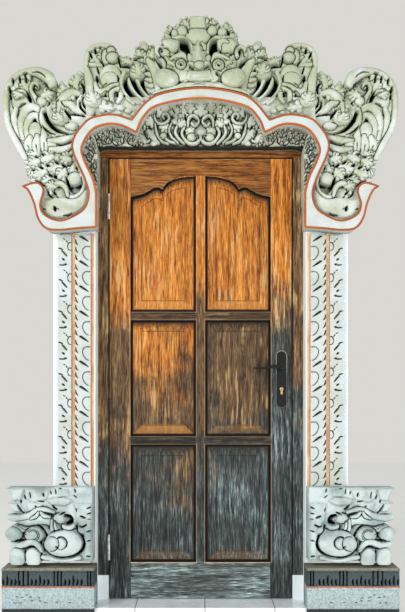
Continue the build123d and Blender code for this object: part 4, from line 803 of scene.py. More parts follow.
# Leaves between the lobes
crest.acanthus([(68, 98), (63, 87)], 8.4, 94, 2)
crest.acanthus([(76, 88), (77.6, 77)], 8.6, 98, 2)
crest.acanthus([(85, 90), (84, 81)], 5.4, 94, 2)
crest.acanthus([(73, 98), (70.4, 90)], 6, 96, 2)
crest.ridge([(58, 110), (62, 99), (71, 92), (79, 94)], (5, 9, 9, 5), (86, 96, 96), gap=0)
crest.ridge([(64, 103), (70, 104), (76, 110), (82, 114)], (5, 8, 7, 3), (90, 94, 86), gap=0.2)
for slot, wide in (([(55.8, 91), (56.4, 94)], 2), ([(56, 95.8), (56.4, 98)], 2),
                   ([(57.2, 101.6), (59, 100.4)], 2), ([(81, 83.4), (84, 87.4), (83, 92.6)], 4),
                   ([(87.6, 82.4), (88, 85)], 2), ([(61, 102), (64, 106)], 1.8),
                   ([(56.6, 86), (57.8, 82)], 1.2), ([(69, 84), (70, 85.4)], 1.6)):
    crest.cut(slot, (wide * 0.6, wide, wide * 0.6), 34)
# Small lobe on its stem, with the arched bulb and the knot under it
crest.leaf((103, 64), [(88.4, 64), (88, 57), (92, 51), (97, 48), (102, 47)], 90, 6)
crest.acanthus([(98, 62), (93, 55)], 6, 94, 2)
crest.acanthus([(104, 61), (101.6, 52)], 5.6, 96, 2)
crest.ridge([(90, 98), (90, 87), (88, 76), (85.8, 64), (88, 53), (94, 47), (103, 45), (111, 46.6),
             (115.8, 52), (117, 60)], (7, 10, 9, 5.6, 5, 5, 5, 5, 5, 3), (96, 100, 98, 94), gap=0.4)
crest.dome(106, 56, 5, 8, 92, gap=0.2)
crest.dome(111, 50.4, 4.2, 3.8, 100, gap=0.7)
crest.dome(112.4, 57.4, 6.2, 5.4, 106, gap=0.6)
for slot, wide in (([(89.8, 53), (92, 58)], 2.8), ([(95, 49), (95.8, 54)], 3),
                   ([(100, 46.8), (101, 49)], 1.6), ([(100, 61), (102, 63), (104, 66)], 2.6),
                   ([(118, 57), (119, 62), (120.6, 66)], 2.6),
                   ([(108, 62.4), (112, 63.4), (117, 63)], 1.6), ([(97, 67), (98.6, 73)], 2.2),
                   ([(96.6, 76.4), (96.8, 81.6)], 4), ([(87.4, 66.6), (89, 68)], 1.2)):
    crest.cut(slot, (wide * 0.6, wide, wide * 0.7), 36)
crest.dome(110.4, 77.6, 11, 13, 102, gap=0.5, drop=18)
crest.dome(110, 80.6, 9, 8.4, 108, gap=0.2, drop=9)
crest.cut([(117.6, 76), (118.6, 81), (118, 86)], (1, 3, 1.6), 50)
crest.dome(98, 87.4, 4.6, 4, 106, gap=0.4)
crest.ridge([(95.4, 84), (98, 91), (105, 91.4), (112, 86.4), (121, 85)], (4, 7, 7, 5.4, 3), (102, 108, 104),
            gap=0.4)
crest.cut([(104, 85.6), (107, 83.4)], (1.4, 0.8), 60)
crest.ridge([(103.4, 95), (106.4, 93.6), (109.4, 96), (108, 99.4), (104.6, 99)], (2, 3, 3.2, 3, 1.6), 104)
crest.ridge([(112, 102), (111.6, 93), (115.6, 89.4), (120.6, 91.4), (121, 98), (118, 103)],
            (4, 5, 4.4, 4.4, 5, 3), 106, gap=0.5)
crest.ridge([(121, 92), (126, 92.6), (128.6, 99), (134, 105)], (3, 5, 5, 3), 100, gap=0.4)
for slot, wide in (([(102.8, 97), (108, 92.6), (113, 88.8), (118, 87.4)], 1.8),
                   ([(117, 93), (117.6, 98)], 3), ([(125, 94), (125.8, 97.6)], 1.8),
                   ([(126.4, 103), (127.4, 105)], 1.4),
                   ([(115, 105), (121, 108.2), (128, 110.2), (134.6, 110.4)], 2.4),
                   ([(98, 97.4), (99.6, 99)], 1.8), ([(101, 96.6), (103.6, 101.4)], 3.6)):
    crest.cut(slot, (wide * 0.6, wide, wide, wide * 0.6), 34)
crest.cut([(98, 112.6), (108, 114), (120, 114.4), (130, 115)], 2, 44)
crest.acanthus([(101, 107), (112, 109)], 7, 104, 3)
for u, v, wide in ((121, 108.6, 4.4), (128, 112, 3.6), (118.6, 114, 3), (134, 116, 3)):
    crest.dome(u, v, wide, wide * 0.8, 102, gap=0.7)
crest.ridge([(81.6, 96.6), (78.8, 103), (81, 111), (89, 117.6)], (3, 4, 4, 3), 94, gap=0)
crest.cut([(83.4, 98), (84.6, 105), (90, 111), (97.4, 116)], (3.2, 4.6, 4.4, 2.2), 10)
crest.cut([(80, 102), (80.4, 107.4), (84.6, 113), (91, 118.4)], (1.6, 3, 3.2, 2), 24)
crest.dome(92.6, 101.2, 9, 7.8, 110, gap=0.3)
crest.acanthus([(95, 103), (91.6, 94)], 7, 116, 2)
# Fan leaf, and the ball over its three long flutes
crest.acanthus([(131, 63), (123, 60.4)], 5.6, 94, 2)
crest.cut([(120.6, 66.4), (127, 66.6), (134, 67.4)], (3, 3.6, 1.6), 34)
crest.acanthus([(146, 60), (144.6, 47.6)], 9.4, 98, 3)
crest.acanthus([(151, 60), (153, 50.6)], 6.6, 94, 2)
crest.acanthus([(142, 60), (138.4, 51.6)], 6.6, 92, 2)
crest.cut([(134.6, 59.6), (139, 58.4), (143.6, 58.2)], (2.4, 3.4, 1.6), 30)
crest.ridge([(124.4, 73), (121.4, 82), (124, 92), (133, 101), (139, 105)], (4, 5, 4, 4, 3), 96, gap=0)
crest.ridge([(130, 76), (130, 84), (134, 93), (143, 102)], (3, 4, 4, 3), 98, gap=0)
crest.ridge([(137.6, 80), (139.6, 88), (144, 95), (149, 99)], (4, 5, 5, 3), 100, gap=0)
crest.cut([(129, 77.6), (125.2, 84), (128, 92), (133.6, 98.6), (139.8, 103.4)], (3.4, 5, 5.6, 5, 3), 8)
crest.cut([(131.6, 78), (134.6, 86), (139, 94), (145.6, 100.4)], (4.6, 5.6, 5.4, 3), 8)
crest.cut([(142, 81), (142.8, 86.6), (145.4, 92), (149, 96.8)], (4.2, 4.8, 4, 2.2), 8)
crest.dome(137.4, 72.6, 8, 8.6, 110, gap=0.4)
crest.acanthus([(139.6, 75), (137.6, 66.6)], 7, 116, 2)
for height, tip in enumerate(((144.6, 66), (145, 73), (146, 80), (148, 87), (151, 93))):
    crest.ridge([(156, 70 + height * 5), tip], (8, 6, 3), 94 - height, gap=0.2)
crest.ridge([(149, 61), (155, 72), (158, 84), (158, 93)], (7, 9, 9, 7), 99, gap=0.2)
crest.cut([(149.6, 59.6), (154.4, 61), (158.6, 65), (163, 69.6)], (1.2, 2.6, 4.6, 3), 24)
crest.plate(crest.at(band_outline), 60, 1, 0, curved=False)
for flip, side in ((False, "left"), (True, "right")):
    stone = crest.mesh("carved_crest_" + side, flip)
    stone.data.materials.append(painted_stone)
    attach(stone, "surround")
    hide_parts("crest_" + side)

# Mask over the arch: a guardian's face with bulging brows, a crown of leaves and a plain band across its
# forehead, carved from the stone between the two crests.
mask = Carving(153, 249, 12, 104, 0.36, 112)
mask.plate([(154.5, 100), (154.5, 49), (157, 46), (160, 44.5), (161, 41), (161, 38), (163, 37), (165, 38),
            (163.5, 33), (164, 31), (167, 32.6), (166, 27), (167, 24), (169.5, 24), (171, 28),
            (173.5, 26.5), (175, 24), (176.5, 22.4), (179, 23.5), (179, 20), (180.5, 17.5), (183, 18),
            (184, 20), (185, 17), (186.5, 15.5), (188.5, 17), (190, 18.5), (191.5, 15.5), (195, 14.6),
            (202, 14.6), (204, 17), (206, 14.3), (207.5, 15), (208.5, 19), (211, 16.5), (214, 17),
            (215, 20), (217, 20), (219, 24), (219.5, 27), (221, 24.5), (223, 26), (224, 22), (227, 20),
            (229.5, 23), (231, 27), (233, 27), (234, 31), (234.5, 34), (236.5, 35), (237, 39), (239, 41),
            (239, 45), (241.5, 45), (244, 46.6), (246.7, 50), (246.7, 100), (240, 96), (222, 92.5),
            (200, 91.5), (180, 92.5), (164, 96)],
           96, 1.5, 10, curved=False)
for root, tips in (((173, 42), [(162.4, 39), (165, 33), (168, 26), (174, 28)]),
                   ((186, 30), [(176.8, 24.6), (181, 19.4), (186.4, 17)]),
                   ((210, 32), [(206.4, 16.4), (211.6, 18.6), (216.4, 21.4)]),
                   ((226, 42), [(220.6, 27), (226.6, 22.4), (231.6, 28.6), (235, 35.6), (238, 42)])):
    mask.leaf(root, tips, 102, 6.4)
for spine, reach in (([(170, 40), (166, 34)], 6.4), ([(173, 34), (170.4, 27.6)], 6),
                     ([(180, 31), (177.6, 25.4)], 6), ([(188, 27), (184.4, 21)], 6),
                     ([(209, 28), (207, 19.6)], 5.6), ([(214, 28), (213.4, 21)], 5.4),
                     ([(219, 31), (218.4, 25.4)], 4.6), ([(226, 33), (226, 25.6)], 7),
                     ([(231, 40), (232.6, 33)], 6.4), ([(235, 47), (237.4, 42)], 5)):
    mask.acanthus(spine, reach, 110, 2)
mask.plate([(189.6, 16.6), (197, 15.4), (204.8, 16.6), (206.4, 28.4), (190, 28.4)], 120, 2, 10,
           curved=False)
mask.cut([(190, 29), (198, 28.4), (207, 29)], (1, 2.2, 1), 86)
mask.plate([(187, 38), (191, 33), (205, 33), (210.4, 38), (207, 48), (205, 56), (193.6, 56), (191.6, 48)],
           124, 6, 20)
mask.dome(198, 36.4, 12.4, 8.2, 140, gap=0.4, drop=24)
mask.ridge([(201.6, 42), (204, 46.6), (207, 51), (208, 57)], (1.6, 4, 5, 3), (132, 136, 128), gap=0.3)
# Bulging brows over deep eye hollows
for arc in ([(191, 57), (191.4, 50), (187, 42.6), (180, 38.6), (170, 38.4), (163, 41)],
            [(208.6, 57), (208.4, 50), (212.4, 43), (218, 38.8), (227, 38.4), (236, 41)]):
    mask.ridge(arc, (3, 5, 5.4, 5, 4, 3), (118, 134, 138, 130, 116), gap=0.3)
for hollow in ([(179.6, 43), (184, 47), (187, 53), (187.6, 58)], [(221.4, 42.6), (215.6, 46.4), (212.4, 52),
                                                                       (210.8, 57.6)]):
    mask.cut(hollow, (5, 11, 9, 3), 10)
mask.dome(170.4, 46, 9.4, 7, 148, turn=5, gap=0.5)
mask.dome(165.4, 53, 5, 4.4, 134, gap=0.4)
mask.dome(228, 46.4, 10, 7.4, 148, turn=-4, gap=0.4)
mask.ridge([(219.4, 50), (219.6, 44.6), (223.4, 41.4), (228, 43)], (4, 5, 4.6, 2), (138, 144, 146), gap=0.5)
for ball, arc in (((182.2, 31.4, 5.4, 4.6), [(181.6, 26), (185.6, 27.2), (187.8, 31), (188.4, 34)]),
                  ((174.2, 33.6, 3.8, 3.4), [(172.6, 31), (170.4, 34), (171.4, 38)]),
                  ((212, 31, 5, 4.4), [(207.4, 30.4), (208.8, 27), (212, 25.4), (215, 27.6)]),
                  ((222, 32.6, 4.4, 3.8), [(224.6, 29.4), (228, 31.6), (228.4, 35), (225.6, 36.8)])):
    mask.dome(*ball, 130, gap=0.4)
    mask.cut(arc, (0.8, 2.2, 2.4, 0.8), 48)
mask.ridge([(158.6, 57), (156.4, 51), (158.6, 46.4), (162.6, 46.4)], (3, 3.4, 3.4, 2), 118)
mask.ridge([(237, 57), (236.4, 50), (240.4, 46.8), (244.8, 50), (245.6, 57)], (4, 4, 4, 3.4, 3), 120)
for hole, wide in (([(162, 50.4), (162, 53.4)], 3.2), ([(239.4, 50.8), (239.4, 53.6)], 4.2),
                   ([(245.8, 46.4), (246.4, 51), (244.8, 55)], 1.4), ([(169, 53.6), (170.4, 53)], 1.6),
                   ([(231, 53.4), (232.6, 54)], 2.4), ([(163.4, 34.6), (164.4, 36.4)], 1.6),
                   ([(232, 33.6), (233.6, 33)], 2), ([(220.4, 27.6), (221, 29)], 1.6),
                   ([(177, 53), (181, 55.4), (185, 55)], 1.4), ([(227.6, 53), (228.8, 58)], 1.4),
                   ([(234, 61), (234, 64.6)], 1.4), ([(227, 67.2), (229, 67.4)], 1.4)):
    mask.cut(hole, (wide * 0.7, wide, wide * 0.7), 62)
# Eyes, cheeks and the smooth jaw that rests on the band
mask.plate([(163, 60), (172, 55), (184, 56), (190, 62), (190, 71), (180, 75), (166, 74), (161, 67)], 120,
           4, 14)
mask.plate([(236, 60), (228, 54), (216, 56), (210, 61), (210, 70), (220, 75), (232, 74), (238, 68)], 120,
           4, 14)
for spine, reach, lobes in (([(184, 62), (177, 58), (171, 54)], 3.6, 3),
                            ([(176, 66), (170, 63), (166, 58)], 4, 3),
                            ([(214, 62), (222, 58), (228, 55)], 3.6, 3),
                            ([(222, 66), (229, 62), (233, 57)], 4, 3),
                            ([(174, 70), (168, 68), (164, 66)], 3, 2),
                            ([(226, 70), (231, 68), (235, 65)], 3, 2)):
    mask.acanthus(spine, reach, 130, lobes)
for lid in ([(170, 60), (176, 56.6), (183.6, 57.4), (187.6, 61)], [(229, 60), (223, 56.6), (215, 57.6),
                                                                   (211.6, 62)]):
    mask.ridge(lid, (2, 4, 4, 2), 130, gap=0.4)
for u, v, ring in ((180.8, 64.4, 5.2), (218.4, 65.2, 6)):
    mask.dome(u, v, ring, ring * 0.94, 134, gap=0.8)
    mask.dome(u, v, ring * 0.56, ring * 0.5, 124, gap=0.1, drop=2)
    mask.cut([(u - 0.6, v - 0.4), (u + 0.5, v + 0.7)], (2, 2.8), 74)
mask.plate([(161, 60), (163, 58), (167, 62), (166, 70), (160, 68)], 112, 3, 12)
mask.cut([(153, 59.6), (157.6, 62), (163, 70)], (2.6, 5.6, 3), 30)
mask.cut([(246.6, 60), (242.6, 64), (238.4, 69.6)], (2.6, 6.6, 3), 30)
mask.plate([(155, 92), (170, 86), (186, 81), (200, 80), (214, 81), (232, 86), (246, 92), (246, 100),
            (154, 100)],
           122, 3, 10)
mask.dome(184, 76, 6, 6, 130, gap=0, drop=10)
mask.dome(214, 76.4, 5, 6, 130, gap=0, drop=10)
for u, v in ((166.8, 78.4), (233.4, 78)):
    mask.dome(u, v, 12, 9.6, 136, gap=0.5, drop=24)
    mask.dome(u - 3, v - 2, 5.4, 4, 137, gap=0, drop=4)
    mask.dome(u + 4, v + 2.4, 4.4, 3.6, 137, gap=0, drop=4)
mask.cut([(215.8, 73.2), (217, 75.4), (218, 77.6)], (1.4, 3.6, 1.2), 12)
mask.cut([(218.6, 71), (221, 71.6)], (2, 1.6), 50)
mask.plate([(188.6, 71), (210, 71), (213.6, 80), (200, 81.4), (185, 80)], 138, 1.4, 8, curved=False)
mask.plate([(191.6, 73.4), (207.4, 73.4), (209.4, 78.8), (189.4, 78.8)], 130, 2.4, -5, curved=False)
for line in ([(185, 83), (191, 81.4), (196, 83.4), (201, 83), (206, 83.6)],
             [(212, 82.4), (218, 83.4), (222, 82)], [(192, 86), (199, 84.8), (205, 86.4)],
             [(180, 82.4), (184, 80.6)]):
    mask.cut(line, (0.6, 1.4, 0.6), 112)
mask.cut([(176, 86), (179.6, 83.6)], (1, 1.8), 100)
# Nose, standing well forward
mask.dome(190.4, 58.6, 3.6, 3.4, 126, gap=0.5)
mask.dome(207.4, 59, 3.6, 3.2, 124, gap=0.5)
mask.plate([(197.6, 40.5), (200, 44), (203, 46.4), (203, 50), (206.4, 52.6), (205.4, 57), (208, 61),
            (210.4, 65.6), (207, 69.6), (199, 70.8), (191, 69.6), (187.8, 65.6), (190, 61), (192.4, 57),
            (190.6, 52.6), (193.4, 50), (192.8, 46.4), (195.6, 44)], 146, 5, 24)
mask.ridge([(197.8, 43), (198.4, 53), (199, 62)], (2.6, 5.6, 8), (146, 150, 153), gap=0, drop=8)
mask.dome(191.8, 65.4, 3.6, 3.2, 148, gap=0.4)
mask.dome(206.2, 65, 3.8, 3.3, 148, gap=0.4)
mask.dome(199, 65.2, 5, 4.2, 156, gap=0.3)
mask.cut([(190, 67.2), (193, 68.6)], (2.2, 2.6), 50)
mask.cut([(204.6, 68.4), (207.8, 67.2)], (2.6, 2.2), 50)
mask.cut([(190, 62.4), (191.6, 63)], (1.8, 1.2), 80)
mask.cut([(207.4, 62), (209.4, 62.8)], (1.6, 1.4), 70)
mask.plate(mask.at(band_outline), 60, 1, 0, curved=False)
stone = mask.mesh("carved_mask", back=1)
stone.data.materials.append(painted_stone)
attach(stone, "surround")
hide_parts("crest_mask")

# Foot masks: a beast's head at the foot of each pilaster, looking outwards, with a coiled cheek, a round
# eye under a heavy brow, and two broad teeth over the plinth.
foot = Carving(2, 95, 484, 565, 0.38, 120)
foot.plate([(5, 488), (52, 488), (56, 487), (92.6, 487), (92.6, 562), (8.6, 562), (8.4, 555), (8.8, 550.6),
            (12, 548), (13.5, 546.4), (10, 543), (9, 540.6), (5.5, 537), (5, 532), (8, 528), (15.5, 527.4),
            (16, 522), (8, 520.6), (6.8, 517), (11, 512), (10.6, 506), (6.6, 503.4), (12.5, 501), (9, 493)],
           96, 1.2, 8, curved=False)
# Mane cut back in short planes
for plane, top in (([(6, 488.6), (24, 488.6), (21, 500), (13, 501), (10, 493)], 112),
                   ([(25, 488.6), (51, 489.6), (46, 500), (32, 503), (24, 497)], 108),
                   ([(8, 503.6), (20, 503), (26, 512), (14, 512)], 110),
                   ([(26, 502), (44, 504), (38, 511), (28, 512)], 106),
                   ([(46, 500), (62, 496), (74, 501), (64, 506), (52, 505)], 112),
                   ([(57, 488.6), (69, 488.6), (70, 497), (58, 498)], 104),
                   ([(74, 503), (91.6, 503), (91.6, 560), (84, 560), (84, 530), (76, 520)], 106)):
    foot.plate(plane, top, 2.4, 9, curved=False)
for slot, wide in (([(24.4, 495), (25.4, 498.4)], 2.6), ([(30, 492), (30.8, 498)], 1.4),
                   ([(20.6, 500.2), (21, 502.4)], 2.6), ([(18, 505), (21, 510), (23, 513)], 3),
                   ([(43, 493), (44, 496)], 2.6), ([(38, 501), (43.6, 502)], 1.8),
                   ([(35, 506), (37, 509.6)], 2.4), ([(52, 505.4), (54, 508), (56.4, 509.4)], 3.2),
                   ([(54, 512.6), (56.4, 514.6)], 2.2), ([(50.4, 491), (51, 494)], 1.6),
                   ([(55.4, 489), (55.8, 494)], 1.6), ([(59, 488.6), (61.6, 488.8)], 1.2),
                   ([(74.6, 489), (75.4, 492)], 1.8), ([(74, 495.4), (76.4, 497.6)], 1.6),
                   ([(80.6, 516.2), (84.8, 517.8)], 2.8), ([(79.8, 526), (82, 527), (86.4, 525)], 2.4),
                   ([(87, 508.6), (90.6, 507)], 1.8), ([(87.4, 514), (90.6, 513)], 1.6),
                   ([(88, 519), (91, 519.4)], 1), ([(87, 531.6), (90.6, 530.6)], 1.6),
                   ([(87, 541), (90.6, 540)], 1.4), ([(86.6, 556), (90, 556.4)], 2),
                   ([(82, 533), (84, 537)], 1.2), ([(76, 508), (76.6, 511)], 1.4)):
    foot.cut(slot, (wide * 0.6, wide, wide * 0.7), 62)
# Brow folds sweeping back over the eye
foot.ridge([(9, 517), (18, 518.6), (29, 516.4), (37, 510.6), (45, 509.6), (54, 512)], (6, 8, 8, 6, 5, 3),
           (126, 130, 128, 122), gap=0.4)
foot.ridge([(18, 522.6), (28, 522.4), (38, 520), (47, 520), (54, 524), (57.4, 531), (56, 537)],
           (3, 6, 8, 9, 8, 6, 3), (128, 134, 136, 132), gap=0.3)
for lash in ([(31, 518.6), (36, 516), (38.6, 512.4)], [(41, 512), (44, 515.6), (50, 517)]):
    foot.ridge(lash, (2, 4, 2.4), 138, gap=0.7)
for lash in ([(33, 516), (36, 513.4)], [(43, 512.4), (46, 514.6)], [(46, 512.4), (49, 514.4)]):
    foot.cut(lash, (0.7, 1), 112)
for arc in ([(52, 520), (52.4, 528), (56, 535)], [(55.4, 520.6), (56, 526.6), (60, 532.6)]):
    foot.ridge(arc, (2, 3, 2), 138, gap=0.5)
foot.ridge([(44, 536), (41, 529.6), (35, 527.4), (27, 528.4), (20, 526)], (4, 4, 4, 4, 2), 134, gap=0.3)
foot.cut([(16.6, 522.6), (22, 525), (28, 526.6), (36, 525.4), (42, 528.8), (45.4, 534), (46.4, 537.4),
          (51, 536.6)],
         (1, 2, 1.4, 1.8, 2.6, 2.8, 3, 1.4), 60)
foot.dome(34.4, 534.8, 10, 7.8, 142, gap=0.9)
for ring, wide in ((6.6, 1.1), (4.9, 0.9)):
    arc = [(33 + ring * math.cos(a) * 1.02, 535 + ring * math.sin(a) * 0.9)
           for a in np.linspace(-2.4, 1.7, 9)]
    foot.cut(arc, wide, 120)
foot.ridge([(8, 531), (15, 528.6), (24, 530)], (5, 7, 3), 140, gap=0.2)
foot.dome(13.2, 534, 9, 7, 150, gap=0.5)
foot.cut([(22, 533.4), (26.4, 534.2)], (1.8, 1), 100)
# Lips and the two teeth
foot.ridge([(11, 543.8), (19, 545.4), (25, 543.6), (31, 542), (37, 544), (42, 550)], (4, 6, 6, 5.6, 5, 4),
           (134, 138, 138, 130), gap=0.4)
foot.cut([(13, 541.6), (19, 540.4), (24, 541)], (1, 2.8, 1), 76)
foot.cut([(18, 539.8), (18.6, 541.6)], (2.4, 2.4), 50)
for left, right in ((9.2, 24.4), (25.8, 40.6)):
    middle = (left + right) / 2
    foot.ridge([(middle, 555.6), (middle, 560)], (right - left, right - left), 138, gap=0.7, drop=16)
    foot.plate([(left, 556), (right, 556), (right, 562), (left, 562)], 124, 3, 12, curved=False)
    foot.ridge([(middle, 555.4), (middle, 560.4)], (right - left, right - left), 138, gap=0.1, drop=16)
foot.cut([(12.6, 547.6), (19, 548), (24.4, 549.4), (31, 547), (37, 549), (41, 554), (41, 561)],
         (1, 1.8, 1.8, 2, 2, 2.4, 2), 66)
foot.cut([(24.6, 549), (25, 561)], (1.4, 1.6), 76)
# Coiled cheek
foot.ridge([(43, 557), (52, 558.4), (64, 560), (80, 557.4)], (4, 6, 5, 4), 124, gap=0.2)
foot.dome(64.2, 543.6, 19.6, 13.8, 142, gap=1.6, drop=34)
foot.cut([(77, 530.6), (82, 537), (84, 544), (80.6, 551.4), (72, 556), (60, 557.4), (50, 554.6),
          (45, 549.6)],
         (1.6, 3, 3.6, 3, 2.6, 2.6, 2.2, 1.4), 46)
foot.cut([(56, 540.6), (59, 537.4), (63.6, 537.4), (66.8, 541.6), (66, 546.4), (61.6, 549.6)],
         (1.4, 2.2, 2, 2, 1.8, 1), 96)
foot.dome(60.6, 543.8, 5.4, 5.6, 146, gap=0.2, drop=14)
foot.dome(51.8, 543.8, 7, 6.8, 156, gap=0.8)
foot.cut([(43.4, 545), (44.4, 550.4)], (2, 3), 60)
foot.cut([(56, 546.6), (57.6, 548)], (1.6, 2.2), 90)
foot.ridge([(63, 525.6), (70, 527.6), (76, 523.6)], (3.4, 5, 3), 128, gap=0.3)
foot.dome(60.4, 518, 6.6, 4.8, 144, gap=0.6)
for slot, wide in (([(65.6, 515.4), (70, 517), (71.4, 521), (67, 523.6)], 5.4),
                   ([(55.6, 520), (57.4, 523.4)], 1.8), ([(60.4, 514.4), (65, 512.2)], 1.8),
                   ([(61.4, 524.4), (62, 529.8)], 3), ([(62, 528.8), (70, 530), (76, 528.4)], 1.8),
                   ([(76.6, 524), (77.2, 531)], 2.8)):
    foot.cut(slot, (wide * 0.6, wide, wide, wide * 0.6), 36)
for flip, side in ((False, "left"), (True, "right")):
    stone = foot.mesh("carved_foot_mask_" + side, flip)
    stone.data.materials.append(splashed_stone)
    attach(stone, "surround")
    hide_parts("foot_mask_" + side)

# Tympanum: a slab of leaf scrolls under the arch, set back behind the band, and the scraps of leaf carving
# that fill the corners down to the jambs. Damp keeps it green and dark.
scroll = Carving(middle_column - 121, middle_column + 121.2, 96, 206, 0.4, 0)
slab_bottom, slab_half = 147.4, 103
scroll.plate([(84, 97), (middle_column + 1, 97), (middle_column + 1, slab_bottom), (92, slab_bottom),
              (92, 118), (84, 118)], 26, 1, 0, curved=False)
scroll.plate([(80.6, 118), (97.6, 118), (97.6, 203), (95, 203), (91, 176), (84, 160), (80.6, 150)], 84, 1,
             0, curved=False)
crumbs = [(91, 135), (96, 131.6), (102, 128.4), (109, 127), (116, 127.6), (122, 129), (128, 132),
          (99, 134.6), (106, 133), (113, 134), (120, 135.6), (126, 138), (132, 137), (95, 139.6),
          (103, 139), (109, 139.6), (116, 140.4), (122, 142), (130, 142.6), (137, 139), (100, 142),
          (107, 142.4), (114, 142.4), (136, 142.4), (142, 142), (147, 142), (152, 141.6)]


def sprig(u, v, turn, reach, wide, top):
    """Three short lobes of a small leaf."""
    for spread in (-62, 0, 62):
        a = math.radians(turn + spread)
        scroll.ridge([(u, v), (u + reach * math.cos(a) * 0.6, v + reach * math.sin(a) * 0.6),
                      (u + reach * math.cos(a), v + reach * math.sin(a))], (wide * 0.7, wide, wide * 0.7),
                     top, gap=0.8, drop=12)


# Small leaves run along under the band
under = band.at([(x, z) for x, z in lower if z > 2100])
for row, drop in enumerate((0.4, 3.6, 7, 10.6)):
    for number, u in enumerate(np.arange(86 + 2 * row, middle_column + 1, 4.4)):
        v = np.interp(u, [place for place, _ in under], [line for _, line in under])
        sprig(u, v + drop, number * 83 + row * 40, 3.1, 2.7, 50 + number % 3 * 5)
for number, (u, v) in enumerate(crumbs):
    sprig(u, v, number * 97, 3.1, 2.5, 46 + number % 3 * 4)
edge_crumbs = [(86.6, 140.6), (91, 142.4), (95, 140.6), (85.4, 146.6), (89.6, 149), (94, 147.4),
               (87.4, 153.4), (92, 155), (96, 152.4), (88.4, 159), (93.4, 161), (90.4, 165), (95, 167.6),
               (92.4, 171.6), (95.6, 174.6), (94, 179), (96.2, 183.4), (95.4, 189), (96.4, 195)]
for number, (u, v) in enumerate(edge_crumbs):
    sprig(u, v, number * 77, 2.6, 2.2, 106 + number % 3 * 3)
for spine, reach, lobes in (([(158, 142), (148, 131)], 7, 3), ([(162, 117), (157, 108)], 6.4, 2),
                            ([(168, 112), (164, 104)], 5.4, 2), ([(180, 121), (173, 107)], 8, 3),
                            ([(171, 128), (161, 127)], 6, 2), ([(184, 117), (184, 104)], 6, 3),
                            ([(178, 126), (185, 121.4)], 6, 2), ([(190, 112), (190.6, 103)], 5.4, 2),
                            ([(middle_column, 114), (middle_column, 104)], 7, 3),
                            ([(193, 134), (188, 128)], 5, 2), ([(152, 126), (150, 118)], 5.4, 2),
                            ([(145, 142), (141, 135)], 5, 2)):
    scroll.acanthus(spine, reach, 54, lobes)
for line, wide in (([(155.4, 112), (155, 119), (159, 123.8), (165, 123.4), (168.6, 119.6), (168, 115),
                     (164.6, 113.6), (162.4, 116.4), (164, 118.6)], 2.8),
                   ([(155, 124), (156.6, 133), (161, 141), (168, 144.6)], 2.8),
                   ([(176, 144), (167.6, 141), (164.4, 135.4), (167, 131.6), (170, 134)], 2.8),
                   ([(171.6, 124), (169.4, 130), (171.6, 137), (178, 143.6)], 2.6),
                   ([(177, 127), (175.4, 133), (178.6, 139), (184, 144)], 3),
                   ([(184.4, 128), (181.8, 133), (184, 139.4), (190, 143.8), (196.4, 143.4), (199.4, 139.6),
                     (197.4, 135.6), (193.6, 137)], 3.4),
                   ([(188, 127), (188.4, 120), (191.6, 115.6), (196.2, 117.4), (198, 122.4), (194.8, 126.4),
                     (191.6, 124)], 3.4)):
    scroll.ridge(line, (wide * 0.6, wide, wide, wide * 0.7), 58, gap=0.8, drop=12)
scroll.dome(163.4, 136, 3.4, 3.2, 54, gap=0.6)
scroll.dome(191.4, 137.4, 4.4, 4, 56, gap=0.5)
for slot, wide in (([(172, 125), (170.8, 131), (173.6, 138)], 1.8),
                   ([(180.6, 128.6), (179.6, 135), (184, 142)], 2.2), ([(185, 114), (185.6, 121)], 2.6),
                   ([(188, 111.8), (188.4, 113.6)], 1.8), ([(194.4, 136.4), (198, 136), (198.8, 140)], 2),
                   ([(194.6, 118.6), (197.4, 122), (194, 126)], 1.8),
                   ([(143, 131), (147, 138), (150, 139.6)], 2), ([(172, 108), (175, 113.6)], 1.6),
                   ([(155.4, 112), (156, 118)], 1.6), ([(156.6, 137.6), (160, 142.6)], 1.6)):
    scroll.cut(slot, (wide * 0.5, wide, wide * 0.5), 6)
scroll.height = np.maximum(scroll.height, scroll.height[:, ::-1])
# The carving coves forward to meet the back of the band
rows = np.interp(scroll.u, [u for u, _ in under], [v for _, v in under], 0, 0)
cove = np.clip(1 - (scroll.v - rows) / 17, 0, 1) * (rows > 0) * (scroll.v < slab_bottom + 0.2)
scroll.height = np.where(scroll.height > 0, np.minimum(scroll.height + 96 * cove ** 1.5, 150),
                         scroll.height)
scroll.height[(scroll.v > slab_bottom) & (abs(scroll.u - middle_column) < slab_half)] = bare
stone = scroll.mesh("carved_tympanum", keep=0.5, back=-70, lift=40)
stone.data.materials.append(damp_stone)
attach(stone, "surround")
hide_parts("tympanum")

# Carved strips beside the doorway: one length of leaf carving repeated up each strip, narrow leaves on the
# inner one and broader leaves on the outer, in flat planes split by chisel slots.


